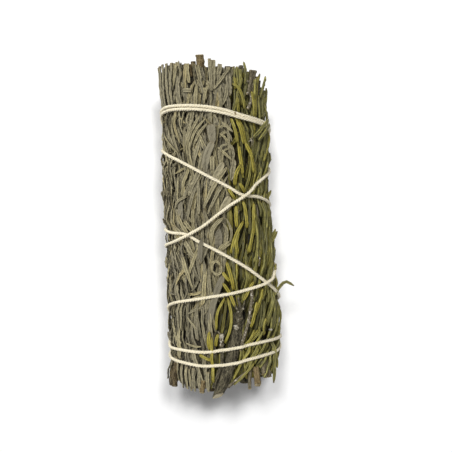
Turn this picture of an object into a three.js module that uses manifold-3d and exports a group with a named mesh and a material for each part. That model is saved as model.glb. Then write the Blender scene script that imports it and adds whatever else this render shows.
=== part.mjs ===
// A small bundle of dried herbs lying on its side: sprigs of narrow-leaved grey sage with sprigs of
// rosemary along one side, trimmed at both ends and wound from end to end with one cotton string.
// Millimetres, +Z up. The bundle's length runs along Y with the leaf tips toward +Y.
// It lies on z = 0.
//
// Places on the bundle are given as an angle about its axis (0 is +X, 90 is up, in degrees),
// a position along Y, and a depth below the foliage's outer envelope.

import * as THREE from "three";
import Module from "manifold-3d";
import { mergeVertices } from "three/addons/utils/BufferGeometryUtils.js";

const wasm = await Module();
wasm.setup();

// Overall sizes
const AXIS_HEIGHT = 14.5;
const TOP_RADIUS = 13.2;
const UNDER_RADIUS = 12.8;
const ROUNDNESS = 2.3; // exponent of the rounded cross-section: 2 is an ellipse
const LEFT_RADIUS = [[-50, 17.1], [50, 16.2]]; // [y, radius]
const RIGHT_RADIUS = [
  [-50, 13.8], [-45, 15.1], [-37, 16.4], [-27, 17.0], [-17, 16.2], [-2, 15.3],
  [11, 14.7], [18, 15.4], [30, 16.0], [38, 15.3], [50, 15.0],
];
const TRIM_TOP = 49.2; // where the leaves are cut
const TRIM_FOOT = -48.6;
const CORE_TOP = 45.5;
const CORE_FOOT = -45.5;

// How the sprigs share the cross-section
const BORDER = [ // where the sage meets the rosemary on the upper side: [y, angle]
  [-50, 113], [-38, 108], [-30, 99], [-20, 93], [-11, 86], [3, 80], [18, 73], [50, 67],
];
const LOWER_BORDER = -40;
const ROSEMARY_SPRIGS = 4;
const SAGE_SIDE_BORDERS = [150, 185, 217, 250, 290, 320];
const GAP = 0.16; // from a sprig's core to its cell's wall, half the gap between two sprigs
const LAYER = 2.2; // depth of the leafy layer outside the cores
const MIDDLE_RADIUS = 6.2; // the two sprigs in the middle of the bundle
const CORE_STATIONS = [CORE_FOOT, -37, -27, -17, -2, 11, 30, 38, CORE_TOP];
const ROOM_STATIONS = [-53, -37, -27, -17, -2, 11, 30, 38, 53];
const ROOM_RADIUS = 32;

// The leaves pressed flat against z = 0, on which the bundle rests, between the string's turns: [x, y]
const PRESSED_LEAVES = [[-3.4, -17.8], [0, -18.6], [3.4, -18.0], [-3.4, 12.3], [0, 13.0], [3.4, 12.0]];
const PRESSED_LEAF = { length: 11, width: 3, edge: 0.75 }; // edge: the flat face's share of the width

// Leaves and stems
const SAGE_LEAF = { length: [11, 14.5], width: [2.5, 3.3], height: 0.9, spread: 3.7, pitch: 9, sway: 8 };
const ROSEMARY_NEEDLE = {
  length: [10.5, 13.5], width: [1.3, 1.6], height: 0.85, spread: 2.2, pitch: 9, sway: 5,
};
const FIRST_ROW = 1.5; // from the foot's cut to the first leaves' roots
const UNEVEN = 0.3; // how far leaves stray from their even spacing, as a share of it
const END_LEAF = { sage: 2.4, middle: 2.2, rosemary: 1.5, height: 0.9, root: 2, tilt: 0.5 }; // widths first
const END_SPOTS = [ // where the cut leaves stand at an outer sprig's end: [share of the cell, depth]
  [0.25, 1.0], [0.72, 1.2], [0.5, 3.2], [0.24, 4.6], [0.78, 5.0],
];
const FOOT_SPOTS = 3; // how many of them there are at the foot
const MIDDLE_SPOTS = [[-3.6, 1.2], [-1.4, 1.1], [1.6, 1.0], [3.8, 1.3], [-2.3, 3.6], [2.2, 3.8]]; // [x, z]
const MIDDLE_DROP = 0.9; // how much lower the lower middle sprig's leaves stand
const MIDDLE_STEM_HEIGHT = 2.9; // from the axis to each middle sprig's stem
const SIMPLIFIED = 0.03; // details smaller than this are merged
const SUNK = 1.0; // how far a leaf's root reaches into the core
const STEM_RADIUS = { sage: [1.35, 0.75], rosemary: [1.3, 0.8] }; // at the foot and at the top
const STEM_SIDES = 6;
const BORE_CLEARANCE = 0.35;
const BORE_OVERRUN = 6;

// The string
const STRING_RADIUS = 0.55;
const STRING_GAP = 0.1; // from the envelope to the string
const STRING_STEP = 18; // degrees of turn for each step of the tube
const STRING_SIDES = 6;
const STRING_POINTS = 1400; // places on its middle line at which crossings are looked for
const SAME_STRAND = 60; // of these points, those nearer along the string than this belong to one strand
const CROSSING = 1.4; // least distance between the middles of two strands that cross
const BESIDE = 1.25; // strands whose middles are further apart than this lie side by side
const HUMP = 5; // how far along the string a crossing's hump reaches
// [angle wound so far, y]: 0 is the left side, 90 the upper side, 180 the right side, 270 underneath
const STRING_ROUTE = [
  [-42, 33.6], [-20, 35.0], [0, 36.0], [24, 36.8], [58, 36.2], [93, 34.8], [126, 32.5], [153, 31.3],
  [180, 30.8], [225, 29.9], [270, 28.3], [315, 26.6], [366, 24.4],
  [397, 21.0], [433, 15.6], [465, 11.0], [478, 8.9], [499, 8.0], [528, 5.7],
  [585, 3.2], [630, 1.8], [675, 0.8], [726, -0.2],
  [748, -1.3], [769, -2.0], [783, -4.2], [805, -7.2], [838, -12.3], [867, -18.1], [895, -22.5],
  [945, -25.8], [990, -27.9], [1035, -30.7], [1086, -36.0],
  [1118, -36.5], [1146, -36.9], [1180, -35.9], [1216, -34.9], [1254, -35.0],
  [1305, -35.9], [1350, -36.8], [1395, -37.9], [1446, -39.4],
  [1478, -40.2], [1505, -41.0], [1539, -40.3], [1575, -39.0], [1600, -38.6],
  [1640, -37.0], [1665, -35.2], [1710, -33.2], [1755, -30.8], [1806, -24.6],
  [1828, -22.6], [1868, -20.9], [1903, -19.8], [1927, -18.5], [1947, -16.5], [1963, -14.5],
  [2025, -10.8], [2070, -9.0], [2115, -7.4], [2166, -5.3],
  [2199, -3.7], [2215, -2.1], [2247, 3.3], [2279, 8.9], [2304, 13.8], [2328, 17.0],
  [2385, 21.2], [2430, 23.6], [2475, 27.4], [2505, 32.0],
  [2522, 34.5], [2544, 35.4], [2578, 34.9], [2613, 33.5], [2646, 31.2], [2673, 29.7], [2700, 29.1],
  [2745, 29.6], [2790, 31.0], [2838, 32.0],
];
const KNOT = { angle: 224, y: 32.8, radius: 1.35, bends: 18 };
const TAILS = [ // the cut ends, from the knot: [[angle, y, height above the envelope], ...]
  [[226, 33.4, 1.4], [231, 36.4, 1.7], [238, 39.0, 1.1]],
  [[222, 32.2, 1.4], [214, 34.6, 2.0], [206, 35.8, 1.2]],
];

// Single stems and leaves that stand out of the bundle: [[angle, y, height above the envelope], ...]
const WOODY_STEM_RADIUS = 1.5;
const WOODY_STEM = [ // the rosemary stem that shows at the foot and at the top
  [101, -49.9, -1.75], [90, -41.6, -1.8], [80, -34.5, -1.9], [71, -27, -2.3], [68, -18, -5.2],
  [62, 0, -5.6], [56, 20, -5.2], [52, 33, -3.6], [50, 47.4, -2.5],
];
const STRAY_NEEDLES = { // by rosemary sprig
  1: [[[60, 40, -3], [60, 45, -1.2], [58, 49.6, -0.8]]],
  2: [[[30, 36, -3], [30, 42, -0.6], [27, 45.8, 0.6]]],
  3: [
    [[20, -15.5, -3], [19, -18.0, -0.2], [18, -17.3, 3.4], [17, -18.4, 6.0]],
    [[16, -9.5, -3], [16, -5.8, -0.1], [17, -2.3, 2.7]],
    [[10, -8.8, -3], [12, -5.0, -0.2], [13, -1.6, 2.0]],
    [[12, 6.0, -3], [13, 8.0, -0.4], [14, 10.4, 1.7]],
  ],
};
const TALL_STUBS = { 2: 50.3 }; // sage stems that stand above the trim, by sprig: y of the cut

// Seeded pseudo-random numbers from 0 to 1
function seeded(seed) {
  let state = seed >>> 0;
  return () => {
    state = (state + 0x6d2b79f5) >>> 0;
    let t = Math.imul(state ^ (state >>> 15), state | 1);
    t ^= t + Math.imul(t ^ (t >>> 7), t | 61);
    return ((t ^ (t >>> 14)) >>> 0) / 4294967296;
  };
}

const between = (random, [low, high]) => low + (high - low) * random();
const radians = THREE.MathUtils.degToRad;

// Straight-line look-up in a table of [x, value]
function along(table, x) {
  if (x <= table[0][0]) return table[0][1];
  for (let i = 1; i < table.length; i++) {
    const [x0, v0] = table[i - 1];
    const [x1, v1] = table[i];
    if (x <= x1) return v0 + ((v1 - v0) * (x - x0)) / (x1 - x0);
  }
  return table[table.length - 1][1];
}

// The envelope's radius from the axis
function envelope(angle, y) {
  const c = Math.cos(radians(angle));
  const s = Math.sin(radians(angle));
  const wide = along(c > 0 ? RIGHT_RADIUS : LEFT_RADIUS, y);
  const high = s > 0 ? TOP_RADIUS : UNDER_RADIUS;
  return (Math.abs(c / wide) ** ROUNDNESS + Math.abs(s / high) ** ROUNDNESS) ** (-1 / ROUNDNESS);
}

// A point from its angle, its place along the bundle and its distance from the axis
function polar(angle, y, distance) {
  return new THREE.Vector3(
    distance * Math.cos(radians(angle)), y, AXIS_HEIGHT + distance * Math.sin(radians(angle)),
  );
}

const onEnvelope = (angle, y, height = 0) => polar(angle, y, envelope(angle, y) + height);

// A closed mesh from rings of points, each counter-clockwise seen from the first ring's side, and
// an optional tip
function loft(rings, tip) {
  const sides = rings[0].length;
  const points = rings.flat();
  const index = [];
  for (let k = 1; k < sides - 1; k++) index.push(0, k, k + 1);
  for (let i = 0; i + 1 < rings.length; i++) {
    for (let k = 0; k < sides; k++) {
      const a = i * sides + k;
      const b = i * sides + ((k + 1) % sides);
      index.push(b, a, a + sides, b, a + sides, b + sides);
    }
  }
  const last = (rings.length - 1) * sides;
  if (tip) {
    points.push(tip);
    for (let k = 0; k < sides; k++) index.push(last + ((k + 1) % sides), last + k, points.length - 1);
  } else {
    for (let k = 1; k < sides - 1; k++) index.push(last, last + k + 1, last + k);
  }
  const geometry = new THREE.BufferGeometry().setFromPoints(points);
  geometry.setIndex(index);
  return geometry;
}

function toSolid(geometry) {
  const bare = geometry.clone();
  bare.deleteAttribute("normal");
  bare.deleteAttribute("uv");
  const merged = mergeVertices(bare, 1e-4);
  return new wasm.Manifold(
    new wasm.Mesh({
      numProp: 3,
      vertProperties: new Float32Array(merged.getAttribute("position").array),
      triVerts: new Uint32Array(merged.index.array),
    }),
  );
}

function toGeometry(solid) {
  const mesh = solid.getMesh();
  const geometry = new THREE.BufferGeometry();
  geometry.setAttribute("position", new THREE.BufferAttribute(mesh.vertProperties, 3));
  geometry.setIndex(new THREE.BufferAttribute(mesh.triVerts, 1));
  return geometry;
}

// Joins solids, and keeps the largest body
function joined(solids) {
  const bodies = wasm.Manifold.union(solids).simplify(SIMPLIFIED).decompose();
  return bodies.reduce((a, b) => (b.volume() > a.volume() ? b : a));
}

// A three-sided blade, flat below and keeled above. outline is its half-width at each point, and
// the last point is its tip, or a cut end if blunt
function blade(points, outline, height, blunt) {
  const rings = [];
  const count = blunt ? points.length : points.length - 1;
  for (let i = 0; i < count; i++) {
    const before = points[Math.max(0, i - 1)];
    const after = points[Math.min(points.length - 1, i + 1)];
    const way = after.clone().sub(before).normalize();
    const up = new THREE.Vector3(points[i].x, 0, points[i].z - AXIS_HEIGHT);
    up.addScaledVector(way, -up.dot(way)).normalize();
    const side = way.clone().cross(up);
    rings.push([
      points[i].clone().addScaledVector(side, -outline[i]),
      points[i].clone().addScaledVector(side, outline[i]),
      points[i].clone().addScaledVector(up, height),
    ]);
  }
  return loft(rings, blunt ? undefined : points[points.length - 1]);
}

// A round rod through points, with a radius at each
function rod(points, radii, sides) {
  const rings = points.map((p, i) => {
    const before = points[Math.max(0, i - 1)];
    const after = points[Math.min(points.length - 1, i + 1)];
    const way = after.clone().sub(before).normalize();
    const side = new THREE.Vector3(0, 0, 1).cross(way).normalize();
    const up = way.clone().cross(side);
    return Array.from({ length: sides }, (_, k) => {
      const turn = (-2 * Math.PI * k) / sides;
      return p.clone()
        .addScaledVector(side, radii[i] * Math.cos(turn))
        .addScaledVector(up, radii[i] * Math.sin(turn));
    });
  });
  return loft(rings);
}

// The cells that the sprigs fill: angles of their two walls at y, sage first, then rosemary
function sageCell(n) {
  return (y) => {
    const border = along(BORDER, y);
    const walls = [border, (border + SAGE_SIDE_BORDERS[0]) / 2, ...SAGE_SIDE_BORDERS];
    return [walls[n - 1], walls[n]];
  };
}

function rosemaryCell(n) {
  return (y) => {
    const border = along(BORDER, y);
    const width = (border - LOWER_BORDER) / ROSEMARY_SPRIGS;
    return [border - n * width, border - (n - 1) * width];
  };
}

// A slice of a sprig's cell, from the middle sprigs out to a given distance, inset from its walls
function cellSlice(cell, stations, outer) {
  const arc = [0, 1 / 3, 2 / 3, 1];
  return loft(stations.map((y) => {
    const [low, high] = cell(y);
    const inner = (MIDDLE_RADIUS + GAP) / Math.cos(radians(high - low) / 2);
    const at = (share, distance) => {
      const inset = THREE.MathUtils.radToDeg(GAP / distance);
      return polar(THREE.MathUtils.lerp(low + inset, high - inset, share), y, distance);
    };
    const far = arc.map((share) => at(share, outer(low + (high - low) * share, y)));
    return [at(1, inner), at(0, inner), ...far];
  }));
}

// A sprig's core: the packed leaves and twigs under its outer leaves
const outerCore = (cell) => cellSlice(cell, CORE_STATIONS, (angle, y) => envelope(angle, y) - LAYER);

// All the room that a sprig's leaves may take up
const outerRoom = (cell) => cellSlice(cell, ROOM_STATIONS, () => ROOM_RADIUS);

// One of the two half-round bodies in the middle: side is 1 for the upper one
function middleSlice(side, stations) {
  return loft(stations.map((y) => Array.from({ length: 6 }, (_, k) => {
    const p = polar((side > 0 ? 0 : 180) + 36 * k, y, MIDDLE_RADIUS - GAP);
    p.z += side * GAP;
    return p;
  })));
}

// A leaf pressed flat against z = 0, rooted in the core above it
function pressedLeaf([x, y]) {
  const { length, width, edge } = PRESSED_LEAF;
  const outline = [[0, -0.5], [-0.5, -0.25], [-0.5, 0.25], [0, 0.5], [0.5, 0.25], [0.5, -0.25]];
  const ring = (scale, z) => outline.map(([u, v]) => (
    new THREE.Vector3(x + u * width * scale, y + v * length * scale, z)
  ));
  return loft([ring(edge, 0), ring(1, AXIS_HEIGHT - UNDER_RADIUS + LAYER + SUNK)]);
}

// One leaf's line in its cell, kept off the cell's walls. place is its share of the cell's width
function leafLine(cell, { root, end, half, drift, place, depth }) {
  return [0, 0.5, 1].map((t, i) => {
    const y = Math.max(root + (end - root) * t, CORE_FOOT + 0.5 - 2 * t);
    const [low, high] = cell(y);
    const radius = envelope((low + high) / 2, y) - LAYER;
    const room = THREE.MathUtils.radToDeg((half + GAP + 0.1) / radius);
    const turned = THREE.MathUtils.radToDeg((drift * (t - 0.5)) / radius);
    const angle = THREE.MathUtils.clamp(low + (high - low) * place + turned, low + room, high - room);
    return onEnvelope(angle, y, -depth[i]);
  });
}

// The leaves on a sprig's outer side, each rooted in the core with its tip near the envelope
function outerLeaves(cell, leaf, random) {
  const made = [];
  const rows = Math.ceil((TRIM_TOP - TRIM_FOOT) / leaf.pitch);
  const [from, to] = cell(0);
  const arc = radians(to - from) * (envelope((from + to) / 2, 0) - LAYER / 2);
  const columns = Math.round(arc / leaf.spread);
  for (let row = 0; row < rows; row++) {
    for (let column = 0; column < columns; column++) {
      const stagger = (column % 2) * 0.5;
      const root = TRIM_FOOT + FIRST_ROW + (row + stagger + UNEVEN * (random() - 0.5)) * leaf.pitch;
      const length = between(random, leaf.length);
      const half = between(random, leaf.width) / 2;
      const sway = radians(leaf.sway * (2 * random() - 1));
      const place = (column + 0.5 + UNEVEN * (random() - 0.5)) / columns;
      const reach = root + length * Math.cos(sway);
      const end = Math.min(reach, TRIM_TOP - 1.2 * random());
      if (end - root < leaf.length[0] / 2) continue;
      const blunt = end < reach - 1;
      const depth = [LAYER + SUNK, leaf.height + 0.35, blunt ? leaf.height + 0.1 : 0.3];
      const points = leafLine(cell, { root, end, half, drift: length * Math.sin(sway), place, depth });
      made.push(blade(points, [half * 0.7, half, half * 0.8], leaf.height, blunt));
    }
  }
  return made;
}

// Cut leaf ends that stand out of a core's end. way is 1 at the top and -1 at the foot
function endLeaves(spots, way, width, random) {
  return spots.map(([x, z]) => {
    const start = (way > 0 ? CORE_TOP : CORE_FOOT) - way * END_LEAF.root;
    const end = way > 0 ? TRIM_TOP - 2.2 * random() : TRIM_FOOT + 1.8 * random();
    const tilt = END_LEAF.tilt * (random() - 0.5);
    const points = [start, end].map((y, i) => new THREE.Vector3(x + i * tilt, y, z + i * tilt));
    return blade(points, [width / 2, width / 2.2], END_LEAF.height, true);
  });
}

// Places over an outer sprig's end, as [x, z]
function outerSpots(cell, y) {
  const [low, high] = cell(y);
  return END_SPOTS.map(([share, depth]) => {
    const angle = low + (high - low) * share;
    const p = onEnvelope(angle, y, -LAYER - depth);
    return [p.x, p.z];
  });
}

// The cut leaves at both ends of an outer sprig
function bothEnds(cell, width, random) {
  return [
    ...endLeaves(outerSpots(cell, CORE_TOP), 1, width, random),
    ...endLeaves(outerSpots(cell, CORE_FOOT).slice(0, FOOT_SPOTS), -1, width, random),
  ];
}

// A sprig's stem line down the middle of its cell, and its radii, with a cut at each end
function stemLine(cell, kind, foot, top) {
  const stations = [foot, -20, 20, top];
  const points = stations.map((y) => {
    const [low, high] = cell(y);
    const angle = (low + high) / 2;
    return polar(angle, y, (MIDDLE_RADIUS + envelope(angle, y) - LAYER) / 2);
  });
  const [thick, thin] = STEM_RADIUS[kind];
  return { points, radii: stations.map((y) => thick + ((thin - thick) * (y - foot)) / (top - foot)) };
}

// The same line, wider and running straight on past both ends, to cut the stem's hole
function boreOf({ points, radii }) {
  const beyond = (end, next) => {
    const way = end.clone().sub(next).normalize();
    return end.clone().addScaledVector(way, BORE_OVERRUN);
  };
  const last = points.length - 1;
  const foot = beyond(points[0], points[1]);
  const top = beyond(points[last], points[last - 1]);
  const line = [foot, ...points.slice(1, last), top];
  return rod(line, radii.map((r) => r + BORE_CLEARANCE), STEM_SIDES);
}

// Materials
const sageGreen = new THREE.MeshStandardMaterial({ color: 0x8a8467, roughness: 0.95, metalness: 0 });
const sageBark = new THREE.MeshStandardMaterial({ color: 0x8c7350, roughness: 0.9, metalness: 0 });
const rosemaryGreen = new THREE.MeshStandardMaterial({ color: 0x6f6a2c, roughness: 0.6, metalness: 0 });
const rosemaryBark = new THREE.MeshStandardMaterial({ color: 0x5c5142, roughness: 0.9, metalness: 0 });
const cotton = new THREE.MeshStandardMaterial({ color: 0xe6dcc0, roughness: 0.95, metalness: 0 });

const bundle = new THREE.Group();

function addNode(name, geometry, material) {
  const mesh = new THREE.Mesh(geometry, material);
  mesh.name = name;
  bundle.add(mesh);
}

// One sprig: its leafy body, kept to its own room and with the stem's hole, and its stem
function addSprig(name, core, leaves, room, stem, leafMaterial, barkMaterial) {
  const whole = joined([core, ...leaves].map(toSolid));
  const leafy = whole.intersect(toSolid(room)).subtract(toSolid(boreOf(stem)));
  addNode(name + "_leaves", toGeometry(joined([leafy])), leafMaterial);
  addNode(name + "_stem", rod(stem.points, stem.radii, STEM_SIDES), barkMaterial);
}

function addSageSprigs() {
  for (let n = 1; n <= SAGE_SIDE_BORDERS.length + 1; n++) {
    const cell = sageCell(n);
    const random = seeded(100 + n);
    const leaves = [...outerLeaves(cell, SAGE_LEAF, random), ...bothEnds(cell, END_LEAF.sage, random)];
    const [low, high] = cell(0);
    if (low < 270 && high > 270) leaves.push(...PRESSED_LEAVES.map(pressedLeaf));
    const foot = TRIM_FOOT - 0.3 - random();
    const top = TALL_STUBS[n] ?? TRIM_TOP - 2 * random();
    const stem = stemLine(cell, "sage", foot, top);
    addSprig("sage_sprig_" + n, outerCore(cell), leaves, outerRoom(cell), stem, sageGreen, sageBark);
  }
}

// The two sprigs in the middle of the bundle, which show only at its ends
function addMiddleSprigs() {
  for (const side of [1, -1]) {
    const random = seeded(300 + side);
    const drop = side < 0 ? MIDDLE_DROP : 0;
    const spots = MIDDLE_SPOTS.map(([x, z]) => [x, AXIS_HEIGHT + side * (z + drop)]);
    const leaves = [
      ...endLeaves(spots, 1, END_LEAF.middle, random),
      ...endLeaves(spots.slice(1, 5), -1, END_LEAF.middle, random),
    ];
    const height = AXIS_HEIGHT + side * MIDDLE_STEM_HEIGHT;
    const stem = {
      points: [TRIM_FOOT, TRIM_TOP - 1.5].map((y) => new THREE.Vector3(0, y, height)),
      radii: STEM_RADIUS.sage,
    };
    const core = middleSlice(side, [CORE_FOOT, CORE_TOP]);
    const room = middleSlice(side, [ROOM_STATIONS[0], -ROOM_STATIONS[0]]);
    addSprig("sage_middle_" + (side > 0 ? 1 : 2), core, leaves, room, stem, sageGreen, sageBark);
  }
}

function strayNeedle(line) {
  const { width, height } = ROSEMARY_NEEDLE;
  return blade(line.map((p) => onEnvelope(...p)), line.map(() => width[0] / 2), height, false);
}

function rosemaryStem(n, cell, random) {
  if (n > 1) return stemLine(cell, "rosemary", TRIM_FOOT + 2 * random(), TRIM_TOP - 3 * random());
  return {
    points: WOODY_STEM.map((p) => onEnvelope(...p)),
    radii: WOODY_STEM.map(() => WOODY_STEM_RADIUS),
  };
}

function addRosemarySprigs() {
  for (let n = 1; n <= ROSEMARY_SPRIGS; n++) {
    const cell = rosemaryCell(n);
    const random = seeded(210 + n);
    const needles = [
      ...outerLeaves(cell, ROSEMARY_NEEDLE, random),
      ...(STRAY_NEEDLES[n] ?? []).map(strayNeedle),
      ...bothEnds(cell, END_LEAF.rosemary, random),
    ];
    const stem = rosemaryStem(n, cell, random);
    const name = "rosemary_sprig_" + n;
    addSprig(name, outerCore(cell), needles, outerRoom(cell), stem, rosemaryGreen, rosemaryBark);
  }
}

// How far each point of the wound string has to rise to clear the strands that it crosses
function crossingRises(base) {
  return base.map((p, i) => {
    let nearest = Infinity;
    for (let j = 0; j < i - SAME_STRAND; j++) nearest = Math.min(nearest, p.distanceTo(base[j]));
    return nearest < BESIDE ? Math.sqrt(CROSSING ** 2 - nearest ** 2) : 0;
  });
}

// The string's middle line. A later strand humps over the earlier ones that it crosses
function stringLine() {
  const route = new THREE.CatmullRomCurve3(
    STRING_ROUTE.map(([turn, y]) => new THREE.Vector3(turn / 4, y, 0)),
  );
  const places = route.getSpacedPoints(STRING_POINTS).map((p) => [180 - 4 * p.x, p.y]);
  const base = places.map(([angle, y]) => onEnvelope(angle, y, STRING_GAP + STRING_RADIUS));
  const rises = crossingRises(base);
  const reach = Math.round(HUMP / base[0].distanceTo(base[1]));
  return base.map((p, i) => {
    let lift = 0;
    for (let k = Math.max(0, i - reach); k <= Math.min(base.length - 1, i + reach); k++) {
      lift = Math.max(lift, rises[k] * THREE.MathUtils.smoothstep(1.2 - Math.abs(k - i) / reach, 0, 1));
    }
    return onEnvelope(places[i][0], places[i][1], STRING_GAP + STRING_RADIUS + lift);
  });
}

function stringTube(points, steps) {
  const section = new THREE.Shape(Array.from({ length: STRING_SIDES }, (_, k) => {
    const turn = (2 * Math.PI * k) / STRING_SIDES;
    return new THREE.Vector2(STRING_RADIUS * Math.cos(turn), STRING_RADIUS * Math.sin(turn));
  }));
  const extrudePath = new THREE.CatmullRomCurve3(points);
  return new THREE.ExtrudeGeometry(section, { steps, extrudePath, bevelEnabled: false });
}

// The knot's loops, flat against the bundle
function knotLoops() {
  const loops = new THREE.TorusKnotGeometry(KNOT.radius, STRING_RADIUS, KNOT.bends, STRING_SIDES);
  const middle = onEnvelope(KNOT.angle, KNOT.y, KNOT.radius / 2 + STRING_RADIUS + STRING_GAP);
  return loops.rotateY(radians(90 - KNOT.angle)).translate(middle.x, middle.y, middle.z);
}

function addString() {
  const turns = (STRING_ROUTE[STRING_ROUTE.length - 1][0] - STRING_ROUTE[0][0]) / STRING_STEP;
  const tube = stringTube(stringLine().filter((_, i) => i % 4 === 0), Math.round(turns));
  const tails = TAILS.map((tail) => stringTube(tail.map((p) => onEnvelope(...p)), 4));
  addNode("cotton_string", toGeometry(joined([tube, knotLoops(), ...tails].map(toSolid))), cotton);
}

addSageSprigs();
addMiddleSprigs();
addRosemarySprigs();
addString();

// The bundle's middle goes to the origin
const middle = new THREE.Box3().setFromObject(bundle).getCenter(new THREE.Vector3());
bundle.position.set(-middle.x, -middle.y, 0);

export default bundle;
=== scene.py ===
"""A small bundle of dried sage and rosemary, wound with cotton string, lying on a plain white ground.

Lengths are in millimetres until a mesh is made. A place on the bundle is an angle about its axis in degrees
(0 is +X, 90 is up) and a position along Y. A depth is measured down from the foliage's surface.
"""

import math

import bpy
import numpy as np
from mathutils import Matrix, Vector


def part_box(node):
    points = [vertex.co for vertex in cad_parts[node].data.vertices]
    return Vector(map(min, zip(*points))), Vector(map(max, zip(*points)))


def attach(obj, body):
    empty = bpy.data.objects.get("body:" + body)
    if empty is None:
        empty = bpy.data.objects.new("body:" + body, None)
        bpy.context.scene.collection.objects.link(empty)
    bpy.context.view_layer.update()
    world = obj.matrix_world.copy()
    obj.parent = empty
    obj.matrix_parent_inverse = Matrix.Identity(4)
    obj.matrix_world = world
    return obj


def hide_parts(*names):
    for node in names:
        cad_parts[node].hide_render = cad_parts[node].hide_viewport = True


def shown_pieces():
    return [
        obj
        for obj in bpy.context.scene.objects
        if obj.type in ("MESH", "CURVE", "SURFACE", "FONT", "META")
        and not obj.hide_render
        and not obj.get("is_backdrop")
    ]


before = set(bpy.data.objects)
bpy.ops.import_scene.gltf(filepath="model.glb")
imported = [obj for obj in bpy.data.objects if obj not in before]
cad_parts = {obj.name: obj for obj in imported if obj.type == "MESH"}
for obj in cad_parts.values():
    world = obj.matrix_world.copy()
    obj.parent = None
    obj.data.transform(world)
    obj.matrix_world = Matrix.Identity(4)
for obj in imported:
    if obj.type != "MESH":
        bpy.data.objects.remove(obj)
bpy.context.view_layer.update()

MM = 0.001
BODY = "root"

# The bundle's form, as in the model
AXIS_HEIGHT = 14.5
TOP_RADIUS = 13.2
UNDER_RADIUS = 12.8
MEAN_RADIUS = 15  # turns an angle into a length over the surface
ROUNDNESS = 2.3
LEFT_RADIUS = [(-50, 17.1), (50, 16.2)]
RIGHT_RADIUS = [
    (-50, 13.8), (-45, 15.1), (-37, 16.4), (-27, 17.0), (-17, 16.2), (-2, 15.3), (11, 14.7), (18, 15.4),
    (30, 16.0), (38, 15.3), (50, 15.0),
]
BORDER = [(-50, 113), (-38, 108), (-30, 99), (-20, 93), (-11, 86), (3, 80), (18, 73), (50, 67)]
LOWER_BORDER = -40
ROSEMARY_SPRIGS = 4
SAGE_SIDE_BORDERS = [150, 185, 217, 250, 290, 320]
SAGE_SPRIGS = len(SAGE_SIDE_BORDERS) + 1
MIDDLE_RADIUS = 6.2
PROUD = 0.8  # how far the leaves puff out past the model's envelope between the string's turns
PROUD_UNDER = 1.7
FLOOR_CLEARANCE = 0.06
FLOOR_EASE = 0.5  # the height over which points are eased off the floor

# Where the leaves are cut: [(angle, y)]
TRIM_TOP = [
    (-40, 41.5), (15, 42.0), (35, 45.5), (55, 47.2), (75, 47.3), (100, 47.8), (120, 48.4), (150, 50.0),
    (180, 50.3), (320, 48.0),
]
TRIM_FOOT = [
    (-40, -46.5), (10, -47.2), (40, -46.2), (60, -45.6), (90, -48.0), (130, -48.2), (160, -47.6),
    (180, -47.2), (320, -47.5),
]

# The string, with the same route as in the model: [(angle wound so far, y)]
STRING_RADIUS = 0.55
STRING_GAP = 0.1
STRING_STEP = 0.6
CROSSING = 1.4  # between the middles of two strands where they cross
BESIDE = 1.25  # strands whose middles are nearer than this cross
APART = 30  # along the string, before it can meet itself
HUMP = 5
ROUTE_SCALE = 4  # how many degrees count as a millimetre when the route is smoothed
STRING_ROUTE = [
    (-42, 33.6), (-20, 35.0), (0, 36.0), (24, 36.8), (58, 36.2), (93, 34.8), (126, 32.5), (153, 31.3),
    (180, 30.8), (225, 29.9), (270, 28.3), (315, 26.6), (366, 24.4), (397, 21.0), (433, 15.6), (465, 11.0),
    (478, 8.9), (499, 8.0), (528, 5.7), (585, 3.2), (630, 1.8), (675, 0.8), (726, -0.2), (748, -1.3),
    (769, -2.0), (783, -4.2), (805, -7.2), (838, -12.3), (867, -18.1), (895, -22.5), (945, -25.8),
    (990, -27.9), (1035, -30.7), (1086, -36.0), (1118, -36.5), (1146, -36.9), (1180, -35.9), (1216, -34.9),
    (1254, -35.0), (1305, -35.9), (1350, -36.8), (1395, -37.9), (1446, -39.4), (1478, -40.2), (1505, -41.0),
    (1539, -40.3), (1575, -39.0), (1600, -38.6), (1640, -37.0), (1665, -35.2), (1710, -33.2), (1755, -30.8),
    (1806, -24.6), (1828, -22.6), (1868, -20.9), (1903, -19.8), (1927, -18.5), (1947, -16.5), (1963, -14.5),
    (2025, -10.8), (2070, -9.0), (2115, -7.4), (2166, -5.3), (2199, -3.7), (2215, -2.1), (2247, 3.3),
    (2279, 8.9), (2304, 13.8), (2328, 17.0), (2385, 21.2), (2430, 23.6), (2475, 27.4), (2505, 32.0),
    (2522, 34.5), (2544, 35.4), (2578, 34.9), (2613, 33.5), (2646, 31.2), (2673, 29.7), (2700, 29.1),
    (2745, 29.6), (2790, 31.0), (2838, 32.0),
]
# How far each part of the drawn string lies along Y from the model's: [(angle wound so far, mm)]
STRING_NUDGE = [
    (0, -0.12), (100, -0.12), (126, -0.22), (153, -0.35), (180, -0.1), (225, 0), (470, 0), (499, 0.3),
    (528, 0.9), (585, 0.2), (640, 0), (2260, 0), (2304, -0.6), (2328, -1.1), (2385, -0.5), (2430, 0),
    (2500, 0.12), (2610, 0.13), (2646, 0.24), (2673, 0.4), (2700, 0.1), (2745, 0),
]
KNOT = {"angle": 224, "y": 32.8, "radius": 1.35}
# The string's two cut ends: (angle, y, height above the model's envelope)
TAILS = [
    [(226, 33.4, 1.4), (231, 36.4, 1.7), (238, 39.0, 1.1)],
    [(222, 32.2, 1.4), (214, 34.6, 2.0), (206, 35.8, 1.2)],
]

# The photograph's view: straight down, from above the middle of the bundle
PHOTO_SIDE = 452  # pixels
CAMERA_ABOVE_AXIS = 205
CAMERA_X = 1.70
CAMERA_ROLL = math.radians(2.58)
PIXELS_PER_MM = 1 / 0.315  # at the height of the axis
FOCAL_PIXELS = CAMERA_ABOVE_AXIS * PIXELS_PER_MM
SENSOR = 36

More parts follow.
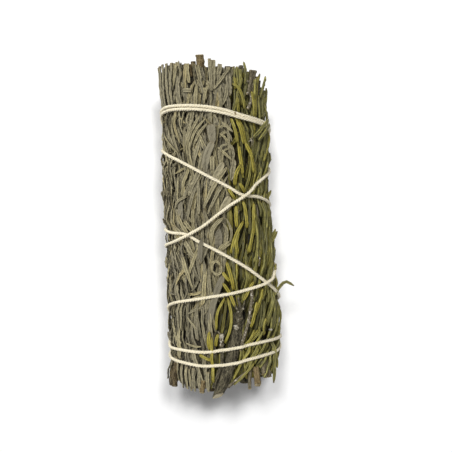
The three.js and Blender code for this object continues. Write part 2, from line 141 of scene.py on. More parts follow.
low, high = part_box("sage_middle_1_stem")
AXIS_X = (low.x + high.x) / 2 / MM  # where the bundle's axis lies in the shared frame


# Small helpers

def along(table, x):
    """A table's value at x, between its rows (x, value)."""
    return np.interp(x, [p[0] for p in table], [p[1] for p in table])


def ramp(x, start, end):
    """0 up to the start and 1 from the end on."""
    return np.clip((x - start) / (end - start), 0, 1)


def turned(angle, start):
    """The turn from start to an angle, from -180 to 180 degrees."""
    return (angle - start + 180) % 360 - 180


def from_border(angle):
    """The same angle, counted from the rosemary's lower border."""
    return (angle - LOWER_BORDER) % 360 + LOWER_BORDER


def unit(vectors):
    return vectors / (np.linalg.norm(vectors, axis=-1, keepdims=True) + 1e-9)


def frames(line, outward):
    """The directions to the side of a line and up from it, for one line or many."""
    way = unit(np.gradient(line, axis=-2))
    side = unit(np.cross(way, outward))
    return side, np.cross(side, way)


def distances(line):
    """How far along a line each of its points lies, for one line or many."""
    steps = np.linalg.norm(np.diff(line, axis=-2), axis=-1)
    return np.concatenate([0 * steps[..., :1], np.cumsum(steps, axis=-1)], axis=-1)


def stacked(*values):
    """Values spread to one shape and put side by side."""
    return np.stack(np.broadcast_arrays(*values), axis=-1)


def envelope(angle, y):
    """The model's envelope: its radius from the axis."""
    c = np.cos(np.radians(angle))
    s = np.sin(np.radians(angle))
    wide = np.where(c > 0, along(RIGHT_RADIUS, y), along(LEFT_RADIUS, y))
    tall = np.where(s > 0, TOP_RADIUS, UNDER_RADIUS)
    return (np.abs(c / wide) ** ROUNDNESS + np.abs(s / tall) ** ROUNDNESS) ** (-1 / ROUNDNESS)


def polar(angle, y, radius):
    """Points from their angles, positions along Y and distances from the axis."""
    a = np.radians(angle)
    return stacked(radius * np.cos(a), y, AXIS_HEIGHT + radius * np.sin(a))


def on_envelope(places):
    """A line through places (angle, y, height above the model's envelope), and which way is outward."""
    angle, y, height = places.T
    radius = envelope(angle, y) + height
    line = polar(angle, y, radius)
    return line, polar(angle, y, radius + 1) - line


def ripple(angle, y, seed, terms=7, lengths=(9, 40), turns=9):
    """A smooth random field from about -1 to 1 over the bundle's surface."""
    random = np.random.default_rng(seed)
    total = 0
    for _ in range(terms):
        n = random.integers(1, turns)
        length = random.uniform(*lengths) * random.choice([-1, 1])
        total = total + np.sin(n * np.radians(angle) + 2 * math.pi * y / length + random.uniform(0, 6.3))
    return total / math.sqrt(terms / 2) / 1.6


def catmull_rom(points, per_span):
    """A centripetal Catmull-Rom curve through points."""
    p = np.array(points, float)
    p = np.vstack([2 * p[0] - p[1], p, 2 * p[-1] - p[-2]])
    out = []
    for p0, p1, p2, p3 in zip(p, p[1:], p[2:], p[3:]):
        d = [max(np.linalg.norm(b - a) ** 0.5, 1e-4) for a, b in ((p0, p1), (p1, p2), (p2, p3))]
        m1 = ((p1 - p0) / d[0] - (p2 - p0) / (d[0] + d[1]) + (p2 - p1) / d[1]) * d[1]
        m2 = ((p2 - p1) / d[1] - (p3 - p1) / (d[1] + d[2]) + (p3 - p2) / d[2]) * d[1]
        t = np.linspace(0, 1, per_span, endpoint=False)[:, None]
        out.append(
            p1 * (2 * t**3 - 3 * t**2 + 1) + m1 * (t**3 - 2 * t**2 + t)
            + p2 * (3 * t**2 - 2 * t**3) + m2 * (t**3 - t**2)
        )
    return np.vstack([*out, p[-2][None]])


def evenly(points, step):
    """The same line, with points a step apart."""
    points = np.asarray(points, float)
    reach = distances(points)
    places = np.linspace(0, reach[-1], max(3, int(round(reach[-1] / step)) + 1))
    return np.stack([np.interp(places, reach, column) for column in points.T], axis=1)


# The string's line

def string_line():
    """The string's angles, ys and middle line, and how far that lies from the bundle's axis."""
    route = catmull_rom([(turn / ROUTE_SCALE, y) for turn, y in STRING_ROUTE], 24)
    places = evenly(route, STRING_STEP)
    wound = places[:, 0] * ROUTE_SCALE
    angle = 180 - wound
    y = places[:, 1]
    rest = envelope(angle, y) + STRING_GAP + STRING_RADIUS
    base = polar(angle, y, rest)
    step = np.linalg.norm(np.diff(base, axis=0), axis=1).mean()
    apart = int(APART / step)
    rises = np.zeros(len(base))
    for i in range(apart + 1, len(base)):
        nearest = np.linalg.norm(base[: i - apart] - base[i], axis=1).min()
        if nearest < BESIDE:
            rises[i] = math.sqrt(CROSSING**2 - nearest**2)
    reach = int(HUMP / step)
    lift = np.zeros(len(base))
    for i in np.nonzero(rises)[0]:
        window = np.arange(max(0, i - reach), min(len(base), i + reach + 1))
        t = np.clip(1.2 - np.abs(window - i) / reach, 0, 1)
        lift[window] = np.maximum(lift[window], rises[i] * t * t * (3 - 2 * t))
    y = y + along(STRING_NUDGE, wound)
    return angle, y, polar(angle, y, rest + lift), rest + lift


string_angle, string_y, string_middle, string_radius = string_line()


# The foliage's outer surface, pressed in under the string, as a grid over angle and y
GRID_ANGLE = 0.5
GRID_Y = 0.25
GRID_END = 60
PINCH = 4.2  # how far from the string the leaves have puffed out again
PINCH_TURN = 14  # degrees that hold all of that, to each side
PUFF = 1.5  # how far out they are there


def unpressed(angle, y):
    """The foliage's radius where no string presses it. Near the leaf tips both sides lie flatter."""
    proud = PROUD + (PROUD_UNDER - PROUD) * ramp(np.sin(np.radians(angle)), -0.62, -0.92)
    right = ramp(np.abs(turned(angle, 12)), 58.5, 13.5)
    left = ramp(np.abs(turned(angle, 180)), 56, 16)
    proud = proud - 0.9 * right * ramp(y, 29, 30.5) * ramp(y, 46, 37) - 1.2 * left * ramp(y, 34, 43)
    return envelope(angle, y) + proud + 0.4 * ripple(angle, y, 5, 7, (20, 60))


def make_surface():
    """The foliage's surface with its valleys, the same without them, and the grid's angles and ys."""
    angles = np.arange(0, 360, GRID_ANGLE)
    angle, y = np.meshgrid(angles, np.arange(-GRID_END, GRID_END, GRID_Y), indexing="ij")
    smooth = unpressed(angle, y)
    uneven = smooth - 1.2 * np.clip(-ripple(angle, y, 8, 16, (14, 60), 26) - 0.25, 0, 0.9)
    half_a = int(PINCH_TURN / GRID_ANGLE)
    half_y = int(PINCH / GRID_Y)
    for a, b in zip(string_angle, string_y):
        i = int(round(a / GRID_ANGLE))
        j = int(round((b + GRID_END) / GRID_Y))
        rows = np.arange(i - half_a, i + half_a + 1)
        columns = np.arange(max(0, j - half_y), min(y.shape[1], j + half_y + 1))
        radius = float(envelope(a, b))
        across = np.radians(rows * GRID_ANGLE - a) * radius
        beside = columns * GRID_Y - GRID_END - b
        distance = np.hypot(across[:, None], beside[None, :])
        seat = radius + STRING_GAP - 0.05 + PUFF * (distance / PINCH) ** 1.5
        seat = np.where(distance < PINCH, seat, np.inf)
        cells = np.ix_(rows % y.shape[0], columns)
        for grid in (smooth, uneven):
            grid[cells] = np.minimum(grid[cells], seat)
    return uneven, smooth, angle, y


surface_grid, smooth_grid, grid_angle, grid_y = make_surface()
ground_grid = smooth_grid.copy()  # what the leaves lie along, without the hollows that some of them sink into


def on_grid(grid, angle, y):
    """A grid's value at each place."""
    i = np.asarray(angle, float) % 360 / GRID_ANGLE
    j = np.clip((np.asarray(y, float) + GRID_END) / GRID_Y, 0, grid.shape[1] - 1.001)
    i0 = np.floor(i).astype(int)
    j0 = np.floor(j).astype(int)
    u = i - i0
    v = j - j0
    i1 = (i0 + 1) % grid.shape[0]
    i0 = i0 % grid.shape[0]
    return (
        grid[i0, j0] * (1 - u) * (1 - v) + grid[i1, j0] * u * (1 - v)
        + grid[i0, j0 + 1] * (1 - u) * v + grid[i1, j0 + 1] * u * v
    )


def seen_at(px, py, depth=0.3):
    """The place (angle, y) that the photograph shows at a pixel, at a depth below the unbroken foliage."""
    angle = np.arange(0, 180.1, 0.5)
    y = np.zeros_like(angle)
    for _ in range(8):
        radius = on_grid(smooth_grid, angle, y) - depth
        x = radius * np.cos(np.radians(angle)) - CAMERA_X
        scale = FOCAL_PIXELS / (CAMERA_ABOVE_AXIS - radius * np.sin(np.radians(angle)))
        down = (PHOTO_SIDE / 2 - py) / scale
        y = (down - x * math.sin(CAMERA_ROLL)) / math.cos(CAMERA_ROLL)
    shown = PHOTO_SIDE / 2 + scale * (x * math.cos(CAMERA_ROLL) - y * math.sin(CAMERA_ROLL))
    best = np.argmin(np.abs(shown - px))
    return angle[best], y[best]


# The dark gaps between leaves in the photograph: pixel x, pixel y, half-width and half-length in mm, depth
DENTS = [
    (185.5, 97, 0.8, 1.9, 2.2), (247, 99, 0.9, 3.4, 3.4), (218, 138, 0.8, 2.2, 2.2),
    (226, 156, 1.0, 1.5, 2.4), (234, 152, 0.7, 2.0, 1.8), (221.5, 160, 0.9, 0.9, 1.6),
    (235, 150, 0.7, 4.0, 2.0), (249, 113, 2.0, 1.2, 1.8), (185, 212, 0.8, 1.6, 2.0),
    (214.5, 194, 1.1, 1.4, 2.0), (235, 188, 1.0, 1.8, 2.2), (241.5, 218, 0.7, 1.8, 2.2),
    (218, 246, 2.0, 1.4, 2.4), (258.5, 250, 0.8, 2.4, 2.4), (231.5, 262, 0.6, 1.8, 2.0),
    (193.5, 250, 0.9, 0.9, 1.8), (225, 318, 1.3, 5.4, 2.6), (231, 326, 1.2, 4.2, 1.8),
    (258, 342, 1.7, 2.6, 2.4), (216.5, 366, 1.1, 2.4, 2.2), (252, 355, 1.6, 1.2, 1.8),
    (175, 376, 1.0, 2.6, 2.0), (203, 129, 0.6, 1.4, 1.5), (176, 133, 0.6, 1.6, 1.6),
    (196, 268, 0.7, 1.6, 1.7), (181, 262, 0.6, 1.6, 1.7), (174, 320, 0.6, 2.2, 2.0),
    (192, 335, 0.6, 2.0, 2.0), (179, 306, 0.5, 2.4, 2.0), (194, 311, 0.5, 2.2, 2.0),
    (203, 338, 0.5, 1.8, 2.0), (184, 343, 0.5, 2.0, 1.9), (216, 267, 0.7, 0.7, 2.6),
    (187, 322, 0.4, 2.6, 1.8), (199, 326, 0.5, 2.0, 1.8), (205, 315, 0.7, 2.4, 1.9),
    (226, 96, 0.7, 1.4, 1.6), (170, 232, 1.6, 0.9, 1.5), (200, 228, 0.7, 1.6, 1.6),
    (240, 128, 0.6, 1.8, 1.9), (252, 180, 0.7, 1.8, 2.0), (264, 225, 0.7, 2.2, 2.0),
    (248, 262, 0.7, 1.6, 1.8), (266, 305, 0.7, 2.2, 2.0), (260, 72, 0.7, 1.6, 2.0),
    (270, 330, 0.8, 2.0, 1.9),
]
# The woody stem's shown part, from its cut end up, in pixels
STEM_SHOWN = [
    (218.4, 395.6), (220.8, 389), (227, 373), (230.8, 360.7), (233.4, 346.5), (237, 331.5), (239.8, 320),
]


def carve_dents():
    for px, py, wide, long, deep in DENTS:
        angle, y = seen_at(px, py, 0.8)
        across = np.radians(turned(grid_angle, angle)) * MEAN_RADIUS
        distance = np.hypot(across / wide, (grid_y - y) / long)
        surface_grid[...] -= deep * np.exp(-(distance**2) * 0.9)


def carve_trough(points, half, deep):
    """Lowers the leaves along a line that something thicker lies in."""
    trough = np.zeros_like(surface_grid)
    for angle, y in (seen_at(*p, 1.0) for p in evenly(catmull_rom(points, 8), 3)):
        across = np.radians(turned(grid_angle, angle)) * MEAN_RADIUS
        distance = np.hypot(across, grid_y - y)
        trough = np.maximum(trough, deep * np.exp(-((distance / half) ** 4)))
    surface_grid[...] -= trough
    ground_grid[...] -= trough


carve_dents()
carve_trough(STEM_SHOWN, 2.2, 2.2)
carve_trough([(251, 72), (251, 90)], 1.4, 1.2)


# Leaves, as closed thin solids made many at a time

SECTION = np.array([  # around a leaf's section: [place across, 1 on the upper face or 0 below]
    (-1, 1), (-0.86, 1), (-0.6, 1), (-0.28, 1), (0, 1), (0.28, 1), (0.6, 1), (0.86, 1), (1, 1),
    (0.62, 0), (0, 0), (-0.62, 0),
])
LEAF_STATIONS = 13
STATIONS = np.linspace(0, 1, LEAF_STATIONS)  # shares of the way along a leaf
OUTLINES = {
    "narrow": [(0, 0.35), (0.1, 0.62), (0.3, 0.95), (0.55, 1), (0.78, 0.8), (0.93, 0.42), (1, 0.1)],
    "blunt": [(0, 0.4), (0.12, 0.75), (0.35, 1), (0.8, 1), (0.93, 0.85), (1, 0.35)],
    "round": [(0, 0.45), (0.2, 0.85), (0.5, 1), (0.84, 1), (0.95, 0.78), (1, 0.3)],
    "cut": [(0, 0.5), (0.2, 0.9), (0.5, 1), (1, 0.92)],
    "needle": [(0, 0.55), (0.07, 0.85), (0.25, 1), (0.8, 0.97), (0.94, 0.75), (1, 0.3)],
}


class Leaves:
    """Collects one mesh's leaves, given as arrays with one row for each leaf."""

    def __init__(self):
        self.points = []
        self.look = []
        self.strip = []

    def add(self, middle, outward, half, roll, thick, curl, groove, tint, shade, seed):
        """middle and outward are (n, stations, 3), half, roll and shade (n, stations), and the rest (n,)."""
        n, stations = half.shape
        random = np.random.default_rng(int(1000 * np.abs(middle[0, 0, 1])) + n)
        half, roll, shade = (a[:, :, None] for a in (half, roll, shade))
        thick, curl, groove, tint, seed = (a[:, None, None] for a in (thick, curl, groove, tint, seed))
        side, up = frames(middle, outward)
        side, up = side * np.cos(roll) + up * np.sin(roll), up * np.cos(roll) - side * np.sin(roll)
        u, upper = SECTION.T
        wrinkle = 1 + 0.35 * random.normal(size=(n, stations, 1))
        ridge = groove * wrinkle * (1.6 * np.abs(u) - 0.6 * u**2 - 0.35)
        under = curl * np.clip(np.abs(u) - 0.45, 0, 1) ** 2 * 2.6  # the edges roll under
        across = u * (1 - 0.16 * under) * half
        body = thick * np.minimum(1, 2 * half / half.max(1, keepdims=True))
        crumple = 0.06 * random.normal(size=(n, stations, len(u))) * np.minimum(1, 2 * half)
        rise = (ridge - under) * half + crumple * upper + (upper - 0.5) * body
        points = middle[:, :, None] + across[..., None] * side[:, :, None] + rise[..., None] * up[:, :, None]
        edge = np.abs(u) * upper + 1 - upper
        tip = STATIONS[:, None]
        self.points.append(points.reshape(n, -1, 3))
        self.look.append(stacked(tint, edge, shade, tip).reshape(n, -1, 4))
        self.strip.append(stacked(across, distances(middle)[..., None], seed).reshape(n, -1, 3))


def ring_faces(rings, sides):
    """A closed tube's faces: quads between its rings, and both ends."""
    faces = []
    for i in range(rings - 1):
        for k in range(sides):
            a = i * sides + k
            b = i * sides + (k + 1) % sides
            faces.append((a, b, b + sides, a + sides))
    faces.append(tuple(reversed(range(sides))))
    faces.append(tuple((rings - 1) * sides + k for k in range(sides)))
    return faces


def settle(points):
    """Keeps points off the ground that the bundle lies on."""
    below = np.minimum(points[..., 2] - FLOOR_CLEARANCE - FLOOR_EASE, 0)
    points[..., 2] += FLOOR_EASE * (np.exp(below / FLOOR_EASE) - 1) - below
    return points


def new_mesh(name, points, faces, look, strip, smooth=True):
    """A mesh from millimetre points in the bundle's own place, put into the shared frame."""
    mesh = bpy.data.meshes.new(name)
    sizes = np.array([len(f) for f in faces], np.int32)
    corners = np.concatenate([np.asarray(f) for f in faces]).astype(np.int32)
    mesh.vertices.add(len(points))
    mesh.vertices.foreach_set("co", ((points + [AXIS_X, 0, 0]) * MM).astype(np.float32).ravel())
    mesh.loops.add(len(corners))
    mesh.loops.foreach_set("vertex_index", corners)
    mesh.polygons.add(len(faces))
    mesh.polygons.foreach_set("loop_start", np.cumsum(sizes, dtype=np.int32) - sizes)
    mesh.polygons.foreach_set("loop_total", sizes)
    mesh.update(calc_edges=True)
    mesh.polygons.foreach_set("use_smooth", np.full(len(faces), smooth))
    for key, kind, field, values in (
        ("look", "FLOAT_COLOR", "color", look), ("strip", "FLOAT_VECTOR", "vector", strip)
    ):
        attribute = mesh.attributes.new(key, kind, "POINT")
        attribute.data.foreach_set(field, values.astype(np.float32).ravel())
    return mesh


def new_object(name, mesh, materials):
    piece = bpy.data.objects.new(name, mesh)
    bpy.context.scene.collection.objects.link(piece)
    for material in materials:
        mesh.materials.append(material)
    return piece


# The sprigs' share of the bundle

def sage_walls(y):
    """The angles between which the sage sprigs lie."""
    border = along(BORDER, y)
    return [border, (border + SAGE_SIDE_BORDERS[0]) / 2, *SAGE_SIDE_BORDERS]


def owner(angle, y, radius=math.inf):
    """The leafy node that a place belongs to."""
    if radius < MIDDLE_RADIUS:
        return "sage_middle_1_leaves" if math.sin(math.radians(angle)) > 0 else "sage_middle_2_leaves"
    border = float(along(BORDER, y))
    a = from_border(angle)
    if a < border:
        share = (border - a) / (border - LOWER_BORDER)
        return f"rosemary_sprig_{min(ROSEMARY_SPRIGS, int(share * ROSEMARY_SPRIGS) + 1)}_leaves"
    return f"sage_sprig_{1 + sum(a >= wall for wall in sage_walls(y)[1:SAGE_SPRIGS])}_leaves"


LEAF_NODES = (
    [f"sage_sprig_{n}_leaves" for n in range(1, SAGE_SPRIGS + 1)]
    + ["sage_middle_1_leaves", "sage_middle_2_leaves"]
    + [f"rosemary_sprig_{n}_leaves" for n in range(1, ROSEMARY_SPRIGS + 1)]
)
grown = {name: Leaves() for name in LEAF_NODES}


# Random leaves

def scatter(random, angles, ys, across, lengthways):
    """Jittered places over the surface, about across by lengthways millimetres apart."""
    places = []
    for row in range(int((ys[1] - ys[0]) / lengthways)):
        y = ys[0] + (row + 0.5) * lengthways
        low_angle, high_angle = angles(y)
        columns = max(1, int(math.radians(high_angle - low_angle) * MEAN_RADIUS / across))
        share = (np.arange(columns) + 0.5 + random.uniform(-0.5, 0.5, columns) + 0.5 * (row % 2)) / columns
        angle = low_angle + (high_angle - low_angle) * share
        places.append(np.stack([angle, y + random.uniform(-0.6, 0.6, columns) * lengthways], axis=1))
    return np.vstack(places)


def trim(table, angle, inward, random):
    """Where leaves at each angle are cut, up to a few times inward from the trim."""
    return along(table, from_border(angle)) + inward * np.abs(random.normal(0, 1, len(angle)))


def resampled(values, at):
    """Each row's values at shares of the way along it."""
    steps = at * (values.shape[1] - 1)
    i = np.minimum(steps.astype(int), values.shape[1] - 2)
    before = np.take_along_axis(values, i, 1)
    after = np.take_along_axis(values, i + 1, 1)
    return before + (after - before) * (steps - i)


def straightened(values):
    """Each leaf's nearest straight line through its values."""
    t = STATIONS - 0.5
    slope = (values * t).sum(1, keepdims=True) / (t**2).sum()
    return values.mean(1, keepdims=True) + slope * t


def leaf_paths(random, angle, y, length, turn, flip):
    """Leaves' angles and ys, held between the trims. Also which are cut at their tips, the share of each that
    is gone at its root, and which are long enough to keep."""
    step = (length / (LEAF_STATIONS - 1))[:, None]
    ahead = np.cumsum(np.cos(turn) * step, axis=1) - np.cos(turn) * step
    aside = np.cumsum(np.sin(turn) * step, axis=1) - np.sin(turn) * step
    y_end = y + flip * ahead[:, -1]
    limit = np.where(
        flip > 0, np.minimum(y_end, trim(TRIM_TOP, angle, -0.5, random)),
        np.maximum(y_end, trim(TRIM_FOOT, angle, 0.7, random)),
    )
    keep = np.clip((limit - y) / (y_end - y), 0, 1)
    ys = y[:, None] + (flip * keep)[:, None] * ahead
    foot = trim(TRIM_FOOT, angle, 0.6, random)
    top = trim(TRIM_TOP, angle, -0.5, random)
    ragged = (from_border(angle) < 100) & (random.uniform(size=len(angle)) < 0.5)
    foot = foot + ragged * random.uniform(0, 3.5, len(angle))
    gone = np.where(flip > 0, foot - y, y - top) / np.maximum(np.abs(ys[:, -1] - y), 0.1)
    gone = np.clip(gone, 0, 0.95)
    at = gone[:, None] + (1 - gone[:, None]) * STATIONS
    angles = angle[:, None] + np.degrees(resampled(aside * keep[:, None], at) / MEAN_RADIUS)
    ys = np.clip(resampled(ys, at), foot[:, None] - 0.4, top[:, None] + 0.4)
    long_enough = ((1 - gone) * keep * length > 1.5) & (np.abs(limit - y) > 0.5)
    return angles, ys, keep < 0.93, gone, long_enough


def lay_leaves(random, places, length, half, heading, bend, depths, roll, twist, outline, thick, curl, groove,
               tint, shade, waver, wiggle, flip=1.0):
    """Lays leaves along the surface from places (angle, y), and gives each to the node that it grows in."""
    angle, y = places.T
    n = len(places)
    t = STATIONS
    phase = random.uniform(0, 6.3, (n, 1))
    turn = np.radians(heading[:, None] + bend[:, None] * (t - 0.5)) + waver * 0.3 * np.sin(5 * t + phase)
    angles, ys, cut, gone, long_enough = leaf_paths(random, angle, y, length, turn, flip)
    d0, d1, d2 = (d[:, None] for d in depths)
    depth = d0 * (1 - t) * (1 - 2 * t) + d1 * 4 * t * (1 - t) + d2 * t * (2 * t - 1)
    depth = depth + waver * np.sin(7 * t + phase * 2) * 0.5
    ground = on_grid(ground_grid, angles, ys)
    sink = straightened(ground - on_grid(surface_grid, angles, ys))
    radius = ground - sink - depth
    middle = polar(angles, ys, radius) + wiggle * random.normal(size=(n, LEAF_STATIONS, 3)) * [1, 0.2, 1]
    outward = polar(angles, ys, radius + 1) - middle
    # Painted shade: leaves are darker where they sink into the hollows
    shades = shade[:, None] * np.clip(1 - 0.17 * sink, 0.35, 1)
    shape = np.where(cut[:, None], along(OUTLINES["cut"], t), along(OUTLINES[outline], t))
    shape = np.where((gone[:, None] > 0.05) & (t < 0.5), np.maximum(shape, 0.9), shape)
    widths = half[:, None] * shape * (1 + 0.07 * random.normal(size=(n, LEAF_STATIONS)))
    rolls = np.radians(roll[:, None] + twist[:, None] * (t - 0.5))
    seeds = random.uniform(0, 60, n)
    halfway = LEAF_STATIONS // 2
    names = np.array([owner(*place) for place in zip(angles[:, halfway], ys[:, halfway], radius[:, halfway])])
    for name in np.unique(names[long_enough]):
        k = long_enough & (names == name)
        grown[name].add(middle[k], outward[k], widths[k], rolls[k], thick[k], curl[k], groove[k], tint[k],
                        shades[k], seeds[k])


def flat(angle, y):
    """A place on the bundle's surface laid out flat, in millimetres."""
    return stacked(np.radians(angle) * MEAN_RADIUS, y)


def seen_line(points, depth=0.3):
    """The places (angle, y) along a line that the photograph shows through pixel points."""
    line = catmull_rom([seen_at(*p, depth) for p in points], 12)
    spread = evenly(flat(line[:, 0], line[:, 1]), 0.2)
    return np.degrees(spread[:, 0] / MEAN_RADIUS), spread[:, 1]


def cleared(places, taken, room):
    """The places that lie off all the taken ones."""
    spots = flat(places[:, 0], places[:, 1] + 5)  # about the middle of the leaf that grows from there
    away = np.linalg.norm(spots[:, None, :] - taken[None, :, :], axis=2).min(1)
    return places[away > room]


def sage_span(y):
    return float(along(BORDER, y)), 360.0 + LOWER_BORDER


def rosemary_span(y):
    return float(LOWER_BORDER), float(along(BORDER, y))


# How askew the sage leaves lie: [(y, share)]
ASKEW = [(-50, 0.4), (-26, 0.5), (-18, 1.1), (10, 1.2), (28, 1.2), (36, 1.2), (50, 1.1)]
# How much of their painted shade the deep sage leaves lose, or gain where it is below 0: [(y, share)]
LIGHTER = [(-50, -0.45), (-20, -0.5), (-12, -0.1), (2, 0.5), (30, 0.74), (50, 0.9)]
# How thick the crumbs lie: [(y, from about -1 for none)]
CRUMBS = [
    (-46, -1), (-24, -0.8), (-17, 0.1), (-4, 0.1), (2, -0.3), (14, -0.3), (24, 0), (31, -0.2), (38, -0.5),
    (50, -1),
]


def grow_sage():
    """Sage leaves, from the deepest layer outward."""
    layers = [  # depth, apart across, apart lengthways, share kept, painted shade (deeper layers darker)
        (3.2, 1.6, 9.0, 1.0, 0.42),
        (2.3, 1.4, 8.0, 1.0, 0.68),
        (1.5, 1.25, 8.0, 1.0, 0.9),
        (0.8, 1.3, 8.5, 1.0, 0.98),
        (0.15, 1.6, 9.0, 0.9, 1.0),
    ]
    for number, (depth, across, lengthways, share, shade) in enumerate(layers):
        random = np.random.default_rng(40 + number)
        places = scatter(random, sage_span, (-58, 50), across, lengthways)
        places = places[random.uniform(size=len(places)) < share]
        if depth < 1:
            places = cleared(places, taken_by_leaves, 1.1)
            places = places[(places[:, 1] > -18) | (random.uniform(size=len(places)) < 0.68)]
        n = len(places)
        angle, y = places.T
        askew = along(ASKEW, y)
        lean = 13 * ripple(angle, y, 11, 8, (14, 50), 8)
        heading = (lean + random.normal(0, 9, n)) * askew
        stray = random.uniform(size=n) < 0.1 * askew
        heading = np.where(stray, heading + random.normal(0, 28, n), heading)
        length = random.uniform(7, 15, n) * np.where(stray, 0.6, 1)
        half = np.clip(random.lognormal(-0.6, 0.3, n), 0.3, 1.0)
        d = depth + random.uniform(-0.45, 0.45, n)
        depths = (d + random.uniform(0.3, 1.2, n), d, d + random.uniform(-0.3, 0.7, n))
        shade = shade + (1 - shade) * along(LIGHTER, y)
        lay_leaves(
            random, places, length, half, heading, random.normal(0, 9, n) * askew, depths,
            random.normal(0, 17, n), random.normal(0, 18, n), "narrow" if number % 2 else "blunt",
            random.uniform(0.24, 0.42, n), random.uniform(0.2, 0.8, n), random.uniform(0.1, 0.55, n),
            random.uniform(0, 1, n) * np.where(y < -20, 0.72, 1), shade + random.normal(0, 0.09, n),
            0.05, 0.035, np.where(random.uniform(size=n) < 0.15, -1.0, 1.0),
        )


def grow_crumbs():
    """Short curled bits of sage leaf caught among the others, but none at the left edge."""
    random = np.random.default_rng(61)
    places = scatter(random, sage_span, (-46, 46), 1.7, 2.6)
    angle, y = places.T
    thick_there = ripple(angle, y, 62, 8, (12, 40), 9) + random.normal(0, 0.5, len(places))
    at_edge = np.abs(angle - 183) < 18
    places = cleared(places[(thick_there + along(CRUMBS, y) > 0.3) & ~at_edge], taken_by_leaves, 1.3)
    n = len(places)
    bend = random.normal(0, 50, n)
    d = random.uniform(-0.15, 0.6, n)
    lay_leaves(
        random, places, random.uniform(2.2, 6.5, n), random.uniform(0.2, 0.5, n), random.normal(0, 42, n),
        bend, (d + random.uniform(0, 0.6, n), d, d + random.uniform(-0.1, 0.6, n)),
        random.normal(0, 35, n), random.normal(0, 60, n), "narrow",
        random.uniform(0.18, 0.3, n), random.uniform(0.1, 0.8, n), random.uniform(0.1, 0.7, n),
        random.uniform(0.1, 1, n), 1.0 + random.normal(0, 0.13, n), 0.12, 0.05,
    )


def grow_rosemary():
    """Rosemary needles, from the deepest layer outward."""
    layers = [  # depth, apart across, apart lengthways, share kept, painted shade (deeper layers darker)
        (3.3, 1.4, 8.0, 1.0, 0.2),
        (2.4, 1.3, 8.5, 1.0, 0.34),
        (1.6, 1.3, 8.5, 0.95, 0.66),
        (0.8, 1.5, 9.0, 0.9, 0.95),
        (0.15, 1.9, 9.0, 0.65, 1.05),
    ]
    for number, (depth, across, lengthways, share, shade) in enumerate(layers):
        random = np.random.default_rng(70 + number)
        places = scatter(random, rosemary_span, (-58, 48), across, lengthways)
        places = places[random.uniform(size=len(places)) < share]
        if depth < 2:
            places = cleared(places, taken_by_needles, 0.9)
        n = len(places)
        angle, y = places.T
        heading = 9 * ripple(angle, y, 21, 8, (24, 60), 7) + random.normal(0, 8, n)
        heading = heading - 17 * ramp(y, -22, -30) + random.normal(0, 6, n) * (y < -22)
        length = random.uniform(8.5, 15, n)
        half = random.uniform(0.32, 0.5, n)
        d = depth + random.uniform(-0.35, 0.35, n)
        depths = (d + random.uniform(0.5, 1.5, n), d, d + random.uniform(-0.6, 0.4, n))
        # Painted light: needles on top of the bundle get a brighter tint than those on its right side and
        # under it, and this brightening fades towards the foot; needles near the top end are darker
        light = ramp(angle, 5, 85) * np.clip((y + 52) / 25, 0.25, 1)
        lay_leaves(
            random, places, length, half, heading, random.normal(0, 8, n), depths,
            random.normal(0, 18, n), random.normal(0, 22, n), "needle",
            random.uniform(0.4, 0.6, n), random.uniform(0.5, 1.0, n), random.uniform(0.35, 0.6, n),
            np.clip(0.24 + 0.42 * light - 0.2 * (y > 30) + random.normal(0, 0.24, n), 0, 1),
            shade + random.normal(0, 0.1, n), 0.03, 0.015,
        )


def grow_ends():
    """Cut leaves that fill both ends, through the bundle's whole thickness."""
    for way in (1, -1):
        random = np.random.default_rng(90 + way)
        spots = []
        for x in np.arange(-18, 18, 1.5):
            for z in np.arange(-14, 14, 1.25):
                spot = (x + random.uniform(-0.6, 0.6), z + random.uniform(-0.5, 0.5))
                radius = math.hypot(*spot)
                angle = math.degrees(math.atan2(spot[1], spot[0]))
                if radius < envelope(angle, way * 46) - 0.6:
                    spots.append((*spot, radius, angle))
        x, z, radius, angle = np.array(spots).T[..., None]
        n = len(spots)
        angle = from_border(angle)
        end = along(TRIM_TOP if way > 0 else TRIM_FOOT, angle)
        end = end - way * (random.uniform(0, 1.8, (n, 1)) + 1.2 * np.clip(1 - radius / 13, 0, 1))
        start = end - way * random.uniform(7, 11, (n, 1))
        tilt = random.normal(0, 0.5, (2, n, 1))
        middle = stacked(
            x + tilt[0] * STATIONS, start + (end - start) * STATIONS, AXIS_HEIGHT + z + tilt[1] * STATIONS
        )
        turn = np.radians(random.uniform(0, 360, (n, 1)))
        outward = stacked(np.cos(turn), 0, np.sin(turn)) + 0 * middle
        names = np.array([owner(a, way * 46, r) for a, r in zip(angle[:, 0], radius[:, 0])])
        needle = np.array(["rosemary" in name for name in names])
        half = np.where(needle, random.uniform(0.5, 0.7, n), random.uniform(0.6, 1.15, n))
        widths = half[:, None] * along(OUTLINES["cut"], STATIONS)
        thick = np.where(needle, 0.65, random.uniform(0.3, 0.55, n))
        # Painted shade: the cut leaves at the ends are darker than the outer leaves, varied at random
        shade = 0.5 + 0.3 * random.uniform(size=n)
        for name in np.unique(names):
            k = names == name
            count = k.sum()
            grown[name].add(middle[k], outward[k], widths[k], 0 * widths[k], thick[k],
                            random.uniform(0.1, 0.8, count), np.full(count, 0.3), random.uniform(0, 1, count),
                            shade[k][:, None] + 0 * widths[k], random.uniform(0, 60, count))


